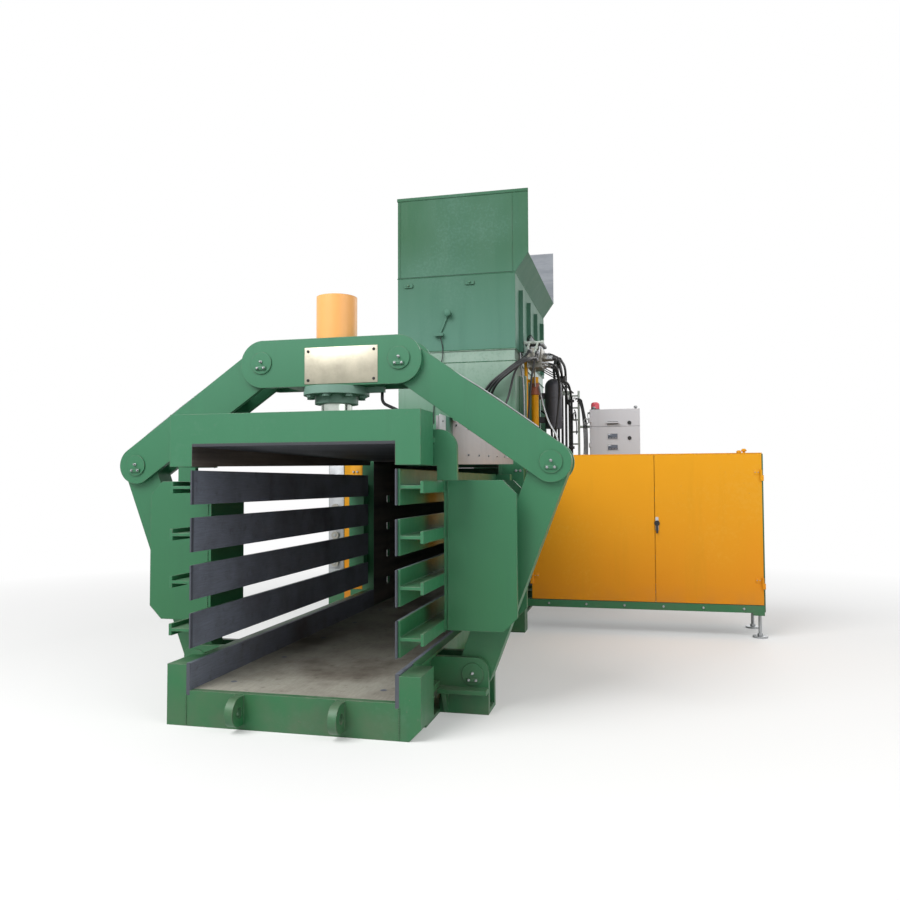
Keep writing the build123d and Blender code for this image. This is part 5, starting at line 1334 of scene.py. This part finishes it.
class BALER_OT_tier_trim(bpy.types.Operator):
    """Fit the edges, roof, seals, latch plate, hinges and foot threads of the tier cabinet"""

    bl_idname = "baler.tier_trim"
    bl_label = "Tier cabinet trim"

    def execute(self, context):
        left, right = face("cabinet_left_door", "-x"), face("cabinet_right_door", "+x")
        shell_top, roof_top = face("cabinet_shell", "+z"), 1.474
        edges = Shape()
        for front, rear, out, top in (
            (2.98, 3.02, 0.014, 1.466), (3.44, 3.488, 0.014, 1.466), (3.02, 3.44, 0.008, 0.258),
        ):
            edges.box((right, front, 0.2), (right + out, rear, top), 0.002)
        edges.done("cabinet_edges", "frame", "green_paint")
        roof = Shape()
        roof.box((left - 0.006, 2.958, shell_top), (right + 0.006, 3.496, roof_top), 0.002)
        for x in (left + 0.12, right - 0.12):
            for y in (3.06, 3.4):
                roof.lathe((x, y, roof_top), UP, (
                    (0.014, 0), (0.014, 0.005), (0.009, 0.008), (0.009, 0.012),
                    (0.02, 0.016), (0.022, 0.026), (0.012, 0.036), (0, 0.038)), 16)
        roof.done("cabinet_roof", "frame", "yellow_paint")
        seals = Shape()
        for x in (left + 0.008, right - 0.012):
            seals.box((x, 2.9525, 0.28), (x + 0.004, 2.9565, 1.45), 0)
        seals.done("cabinet_seals", "frame", "black_plastic", finish("seal"))
        skin = face("cabinet_frame", "-y")
        plate = Shape()
        plate.box((1.826, skin - 0.0015, 0.845), (1.85, skin, 0.955), 0.0007)
        plate.done("latch_plate", "tier_right_door", "zinc_steel")
        leaf = skin - 0.003
        for body, side, x in (
            ("tier_left_door", -1, left + 0.009), ("tier_right_door", 1, right - 0.009),
        ):
            leaves = Shape()
            spots = []
            for z in (0.39, 1.248):
                inner, out = sorted((x - side * 0.009, x - side * 0.055))
                leaves.box((inner, leaf, z + 0.047), (out, skin, z + 0.089), 0.0008)
                spots += [((x - side * step, leaf, z + 0.068), FORWARD, 0.007)
                          for step in (0.022, 0.044)]
            leaves.done(body + "_hinge_leaves", body, "yellow_paint")
            bolts(body + "_hinge_bolts", body, "zinc_steel", spots, 5)
        for name in ("front", "rear"):
            low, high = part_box(name + "_levelling_foot")
            x, y = (round((a + b) / 2, 4) for a, b in zip(low.xy, high.xy))
            thread, nut, turn = Shape(), 0.015, 0.0055
            thread.lathe((x, y, nut), UP, (
                (0.021, 0), (0.021, 0.016), (0.018, 0.019), (0.0125, 0.019)), 6)
            for i in range(22):
                thread.lathe((x, y, 0.037 + turn * i), UP, (
                    (0.0121, 0), (0.0135, 0.0014), (0.0135, 0.0026), (0.0121, 0.004)), 18)
            thread.done(name + "_foot_thread", name + "_foot", "zinc_steel")
        return {"FINISHED"}


class BALER_OT_twister_trim(bpy.types.Operator):
    """Fit the guards and wire guides of the twister side"""

    bl_idname = "baler.twister_trim"
    bl_label = "Twister trim"

    def execute(self, context):
        top = 1.42
        guard = Shape().box((face("hinge_portal", "-x"), BODY_FRONT - 0.003, 0.32),
                            (-0.655, BODY_FRONT, top), 0.001)
        guard.done("portal_guard", "frame", "yellow_paint")
        back = face("twister_frame", "-y")
        front = back - 0.006
        plate = Shape().box((-1.028, front, 0.3), (-0.886, back, top), 0.001)
        plate.done("twister_plate", "frame", "zinc_steel")
        arms, wheels = Shape(), Shape()
        x, nose = -0.96, front - 0.014
        for z in (0.45 + 0.246 * i for i in range(4)):
            arms.box((x - 0.06, nose, z - 0.028), (x + 0.06, front, z + 0.028), 0.003)
            arms.rod((x, front, z + 0.08), FORWARD, 0.012, 0.036, 16)
            wheels.lathe((x, nose, z + 0.08), FORWARD, (
                (0.012, 0), (0.034, 0), (0.034, 0.004), (0.028, 0.008), (0.034, 0.012),
                (0.034, 0.016), (0.012, 0.016)), 28)
        arms.done("wire_guides", "frame", "switch_grey")
        wheels.done("wire_wheels", "frame", "valve_steel")
        return {"FINISHED"}


class BALER_OT_hopper_trim(bpy.types.Operator):
    """Fit the stiffeners, seams and the level switch's cable on the hopper"""

    bl_idname = "baler.hopper_trim"
    bl_label = "Hopper trim"

    def execute(self, context):
        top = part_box("hopper_crown")[1].z
        front, rear, left = HOPPER_FRONT, HOPPER_REAR, -HOPPER_SIDE
        lip, foot = top - 0.03, BOX_TOP + 0.001
        lips = Shape()
        lips.box((left - 0.006, front - 0.006, lip), (0.706, front, top), 0.001)
        lips.box((left - 0.006, front, lip), (left, rear, top), 0.001)
        for y in (front + 0.75, front + 1.5):
            lips.box((left - 0.03, y, foot), (left, y + 0.008, top - 0.002), 0.001)
        for x in (-0.56, 0.552):
            lips.box((x, front - 0.003, foot), (x + 0.008, front, 4.0), 0.001)
        lips.done("hopper_lips", "frame", "hopper_green")
        seam = Shape().box((-0.574, front - 0.0012, 3.2445), (0.574, front, 3.2475), 0)
        seam.done("hopper_seam", "frame", "hopper_green", finish("seal"))
        drop = [(-0.145, 3.575, 2.66), (-0.142, 3.576, 2.63), (-0.128, 3.59, 2.56),
                (-0.126, 3.594, 2.5), (-0.132, 3.594, 2.44), (-0.15, 3.593, 2.36),
                (-0.2, 3.59, 2.1), (-0.22, 3.588, 1.9), (-0.22, 3.591, 1.84),
                (-0.22, 3.604, 1.81)]
        chains("switch_cable", "hoses", "frame", "hose_rubber", [drop],
               Radius=context.scene.baler_fittings.switch_cable, Sides=8)
        cap = Shape().lathe((-0.071, face("level_switch", "-y"), 2.871), FORWARD, (
            (0.031, 0), (0.034, 0.004), (0.034, 0.014), (0.026, 0.02), (0, 0.022)), 24)
        cap.done("switch_cap", "frame", "switch_grey", finish("hopper_green"))
        lugs = face("hopper_box", "-y")
        nuts = [((x, lugs, 3.164), FORWARD, 0.02) for x in (-0.47, 0.14)]
        bolts("hopper_bolts", "frame", "green_paint", nuts, 21)
        return {"FINISHED"}


class BALER_OT_beacon_trim(bpy.types.Operator):
    """Set the beacon's collar and ribs"""

    bl_idname = "baler.beacon_trim"
    bl_label = "Beacon trim"

    def execute(self, context):
        low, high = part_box("beacon")
        x, y = (low.x + high.x) / 2, (low.y + high.y) / 2
        rim = 0.017
        collar = Shape().lathe((x, y, low.z), UP, (
            (0.0445, 0), (0.052, 0), (0.052, 0.012), (0.0475, rim), (0.0445, rim)), 32)
        collar.done("beacon_collar", "frame", "black_plastic")
        ribs = Shape()
        for angle, across, along in around(16, 0.0443):
            px, py = x + across, y + along
            ribs.box((px - 0.0012, py - 0.0016, low.z + rim),
                     (px + 0.0012, py + 0.0016, high.z - 0.024), 0.0005,
                     Matrix.Rotation(angle, 3, "Z"))
        ribs.done("beacon_ribs", "frame", "beacon_red")
        return {"FINISHED"}


def motor_axis():
    """The x and z of the line through the motor and its pump."""
    low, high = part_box("power_pack")
    return round((low.x + high.x) / 2, 4), 1.12


class BALER_OT_motor_trim(bpy.types.Operator):
    """Fit the fins, cowl and terminal box of the motor"""

    bl_idname = "baler.motor_trim"
    bl_label = "Motor trim"

    def execute(self, context):
        x, z = motor_axis()
        front = 7.0
        fins = Shape()
        for angle, across, up in around(28, 0.158, 0.5):
            # Clear of the feet below and of the terminal box above
            if -0.72 <= math.sin(angle) <= 0.93:
                px, pz = x + across, z + up
                fins.box((px - 0.011, front + 0.05, pz - 0.0022),
                         (px + 0.011, front + 0.33, pz + 0.0022), 0.0008,
                         Matrix.Rotation(-angle, 3, "Y"))
        fins.done("motor_fins", "frame", "tank_grey")
        shell = Shape()
        shell.lathe((x, front + 0.34, z), REARWARD, (
            (0.15, 0), (0.162, 0.0), (0.164, 0.006), (0.164, 0.1), (0.15, 0.118), (0.06, 0.122),
            (0.06, 0.117), (0, 0.117)), 40)
        shell.lathe((x, front + 0.045, z), FORWARD, (
            (0.15, 0), (0.162, 0), (0.164, 0.01), (0.164, 0.03), (0.15, 0.045), (0.1, 0.045)), 40)
        shell.box((x - 0.07, front + 0.1, z + 0.145), (x + 0.07, front + 0.26, z + 0.215), 0.008)
        shell.done("motor_cowl", "frame", "tank_grey", finish("cylinder_steel"))
        slots = Shape()
        for angle, across, up in around(24, 0.105):
            px, pz = x + across, z + up
            slots.box((px - 0.03, front + 0.4585, pz - 0.003),
                      (px + 0.03, front + 0.4625, pz + 0.003), 0,
                      Matrix.Rotation(-angle, 3, "Y"))
        slots.done("cowl_slots", "frame", "black_plastic")
        return {"FINISHED"}


class BALER_OT_tank_trim(bpy.types.Operator):
    """Fit the pump's ports and hoses, and the tank's filler, gauge and manhole"""

    bl_idname = "baler.tank_trim"
    bl_label = "Tank and pump trim"

    def execute(self, context):
        x, z = motor_axis()
        tank = face("power_pack", "-y")
        pump, port_front, port_rear = Shape(), 6.78, 6.88
        pump.lathe((x, 6.742, z), FORWARD, (
            (0.095, 0), (0.095, 0.012), (0.07, 0.03), (0.05, 0.05), (0.05, 0.09), (0, 0.09)), 32)
        pump.box((x - 0.045, port_front, z + 0.08), (x + 0.045, port_rear, z + 0.13), 0.004)
        pump.box((x + 0.08, port_front, z - 0.04), (x + 0.125, port_rear, z + 0.04), 0.004)
        pump.done("pump_ports", "frame", "valve_steel")
        cap = Shape().lathe((x, 6.4, 1.01), UP, (
            (0.05, 0), (0.062, 0.002), (0.062, 0.03), (0.054, 0.04), (0, 0.042)), 28)
        cap.done("filler_cap", "frame", "black_plastic")
        sight = Shape().box((1.0, tank + 0.001, 0.5), (1.05, tank + 0.015, 0.78), 0.003)
        sight.done("level_gauge", "frame", "zinc_steel")
        oil = Shape().box((1.016, tank - 0.0005, 0.53), (1.034, tank + 0.0015, 0.75), 0.0008)
        oil.done("gauge_glass", "frame", "zinc_steel", finish("brass"))
        wall, y, centre = 1.51, 6.75, 0.5
        door = Shape().lathe((wall, y, centre), RIGHT, (
            (0.19, 0), (0.19, 0.012), (0.18, 0.014), (0, 0.014)), 40)
        door.done("tank_manhole", "frame", "tank_grey")
        ring = [((wall + 0.014, y + along, centre + up), RIGHT, 0.016)
                for _, along, up in around(12, 0.165)]
        bolts("manhole_bolts", "frame", "zinc_steel", ring, 17)
        port, lid = 6.83, 0.94
        chains("pump_hoses", "hoses", "frame", "hose_rubber", [
            [(x, port, z + 0.13), (x, port, z + 0.2), (x - 0.12, 6.74, z + 0.27),
             (x - 0.3, 6.5, z + 0.1), (x - 0.34, 6.44, lid)],
            [(x + 0.125, port, z), (x + 0.2, port, z), (x + 0.26, 6.76, z - 0.06),
             (x + 0.27, 6.7, lid)],
        ], Radius=context.scene.baler_fittings.pump_hose, Sides=18)
        return {"FINISHED"}


class BALER_OT_stage(bpy.types.Operator):
    """Set up the floor, the soft lamps and the camera"""

    bl_idname = "baler.stage"
    bl_label = "Stage"

    def execute(self, context):
        scene = context.scene
        look = scene.baler_stage
        scene.view_settings.view_transform = "Standard"

        eye = bpy.data.cameras.new("eye")
        eye.lens = look.lens
        eye.sensor_width = 36.0
        eye.clip_end = 200.0
        camera = bpy.data.objects.new("eye", eye)
        camera.location = look.eye
        camera.rotation_euler = (math.pi / 2 + look.tilt, look.roll, look.turn)
        scene.collection.objects.link(camera)
        scene.camera = camera

        for name, power, size, place, aim in (
            ("key", look.key, 7.0, (-3.6, -5.2, 8.4), (0.4, 1.5, 1.2)),
            ("fill", look.fill, 6.0, (7.0, -3.0, 4.5), (0.8, 2.0, 1.0)),
            ("rear", look.fill, 6.0, (5.0, 12.0, 6.0), (0.0, 5.0, 1.0)),
        ):
            data = bpy.data.lights.new(name, "AREA")
            data.energy = power
            data.size = size
            lamp = bpy.data.objects.new(name, data)
            lamp.location = place
            lamp.rotation_euler = (Vector(aim) - Vector(place)).to_track_quat("-Z", "Y").to_euler()
            scene.collection.objects.link(lamp)

        world = bpy.data.worlds.new("sky")
        world.use_nodes = True
        w = Tree()
        w.tree = world.node_tree
        sky = w.tree.nodes["Background"]
        w.feed(sky.inputs["Color"], (1.0, 1.0, 1.0))
        w.feed(sky.inputs["Strength"], look.sky)
        backdrop = w.node("ShaderNodeBackground", None, {"Color": (1.0, 1.0, 1.0), "Strength": 1.0})
        chosen = w.node(
            "ShaderNodeMixShader", None,
            {0: seen(w), 1: Wire(w, sky.outputs[0]), 2: backdrop},
        )
        w.feed(w.tree.nodes["World Output"].inputs["Surface"], chosen)
        scene.world = world

        half = 60.0
        mesh = bpy.data.meshes.new("floor")
        corners = [(half * x, half * y, 0) for x, y in ((-1, -1), (1, -1), (1, 1), (-1, 1))]
        mesh.from_pydata(corners, [], [(0, 1, 2, 3)])
        floor = bpy.data.objects.new("floor", mesh)
        scene.collection.objects.link(floor)
        # The floor fades into the white background and keeps the machine's shadow
        f = Finish("pale_floor")
        f.set(Base_Color=(0.8, 0.8, 0.795), Roughness=0.75)
        away = f.node("ShaderNodeVectorMath", {"operation": "DISTANCE"},
                      {0: f.place, 1: (0.6, 1.2, 0.0)}, out="Value")
        glow = seen(f) * (away.over(3.5, 8.0) * 0.75 + 0.25)
        mixed = f.node("ShaderNodeMixShader", None, {
            0: glow, 1: Wire(f, f.shader.outputs[0]), 2: f.node("ShaderNodeEmission")})
        f.feed(f.tree.nodes["Material Output"].inputs[0], mixed)
        mesh.materials.append(f.material)
        return {"FINISHED"}


class BALER_PT_panel(bpy.types.Panel):
    """Lists the baler's settings and pieces"""

    bl_idname = "BALER_PT_panel"
    bl_label = "Baler"
    bl_space_type = "VIEW_3D"
    bl_region_type = "UI"
    bl_category = "Baler"

    def draw(self, context):
        for group in SETTINGS:
            settings = getattr(context.scene, group)
            column = self.layout.column()
            for name in settings.__annotations__:
                column.prop(settings, name)
        for step in STEPS:
            self.layout.operator(step.bl_idname)


SETTINGS = {
    "baler_finishes": Finishes,
    "baler_fittings": Fittings,
    "baler_stage": StageLook,
}
STEPS = (
    BALER_OT_paint_frame,
    BALER_OT_nameplate,
    BALER_OT_pin_keepers,
    BALER_OT_welds,
    BALER_OT_plate_bolts,
    BALER_OT_platen_trim,
    BALER_OT_valve_trim,
    BALER_OT_hoses,
    BALER_OT_cables,
    BALER_OT_ferrules,
    BALER_OT_squeeze_hose,
    BALER_OT_control_trim,
    BALER_OT_tier_trim,
    BALER_OT_twister_trim,
    BALER_OT_hopper_trim,
    BALER_OT_beacon_trim,
    BALER_OT_motor_trim,
    BALER_OT_tank_trim,
    BALER_OT_stage,
)


def register():
    for made in (*SETTINGS.values(), *STEPS, BALER_PT_panel):
        bpy.utils.register_class(made)
    for name, group in SETTINGS.items():
        setattr(bpy.types.Scene, name, PointerProperty(type=group))


def unregister():
    for name in SETTINGS:
        delattr(bpy.types.Scene, name)
    for made in reversed((*SETTINGS.values(), *STEPS, BALER_PT_panel)):
        bpy.utils.unregister_class(made)


def main():
    """Builds every piece in order."""
    register()
    for step in STEPS:
        group, action = step.bl_idname.split(".")
        getattr(getattr(bpy.ops, group), action)()


if __name__ == "__main__":
    main()
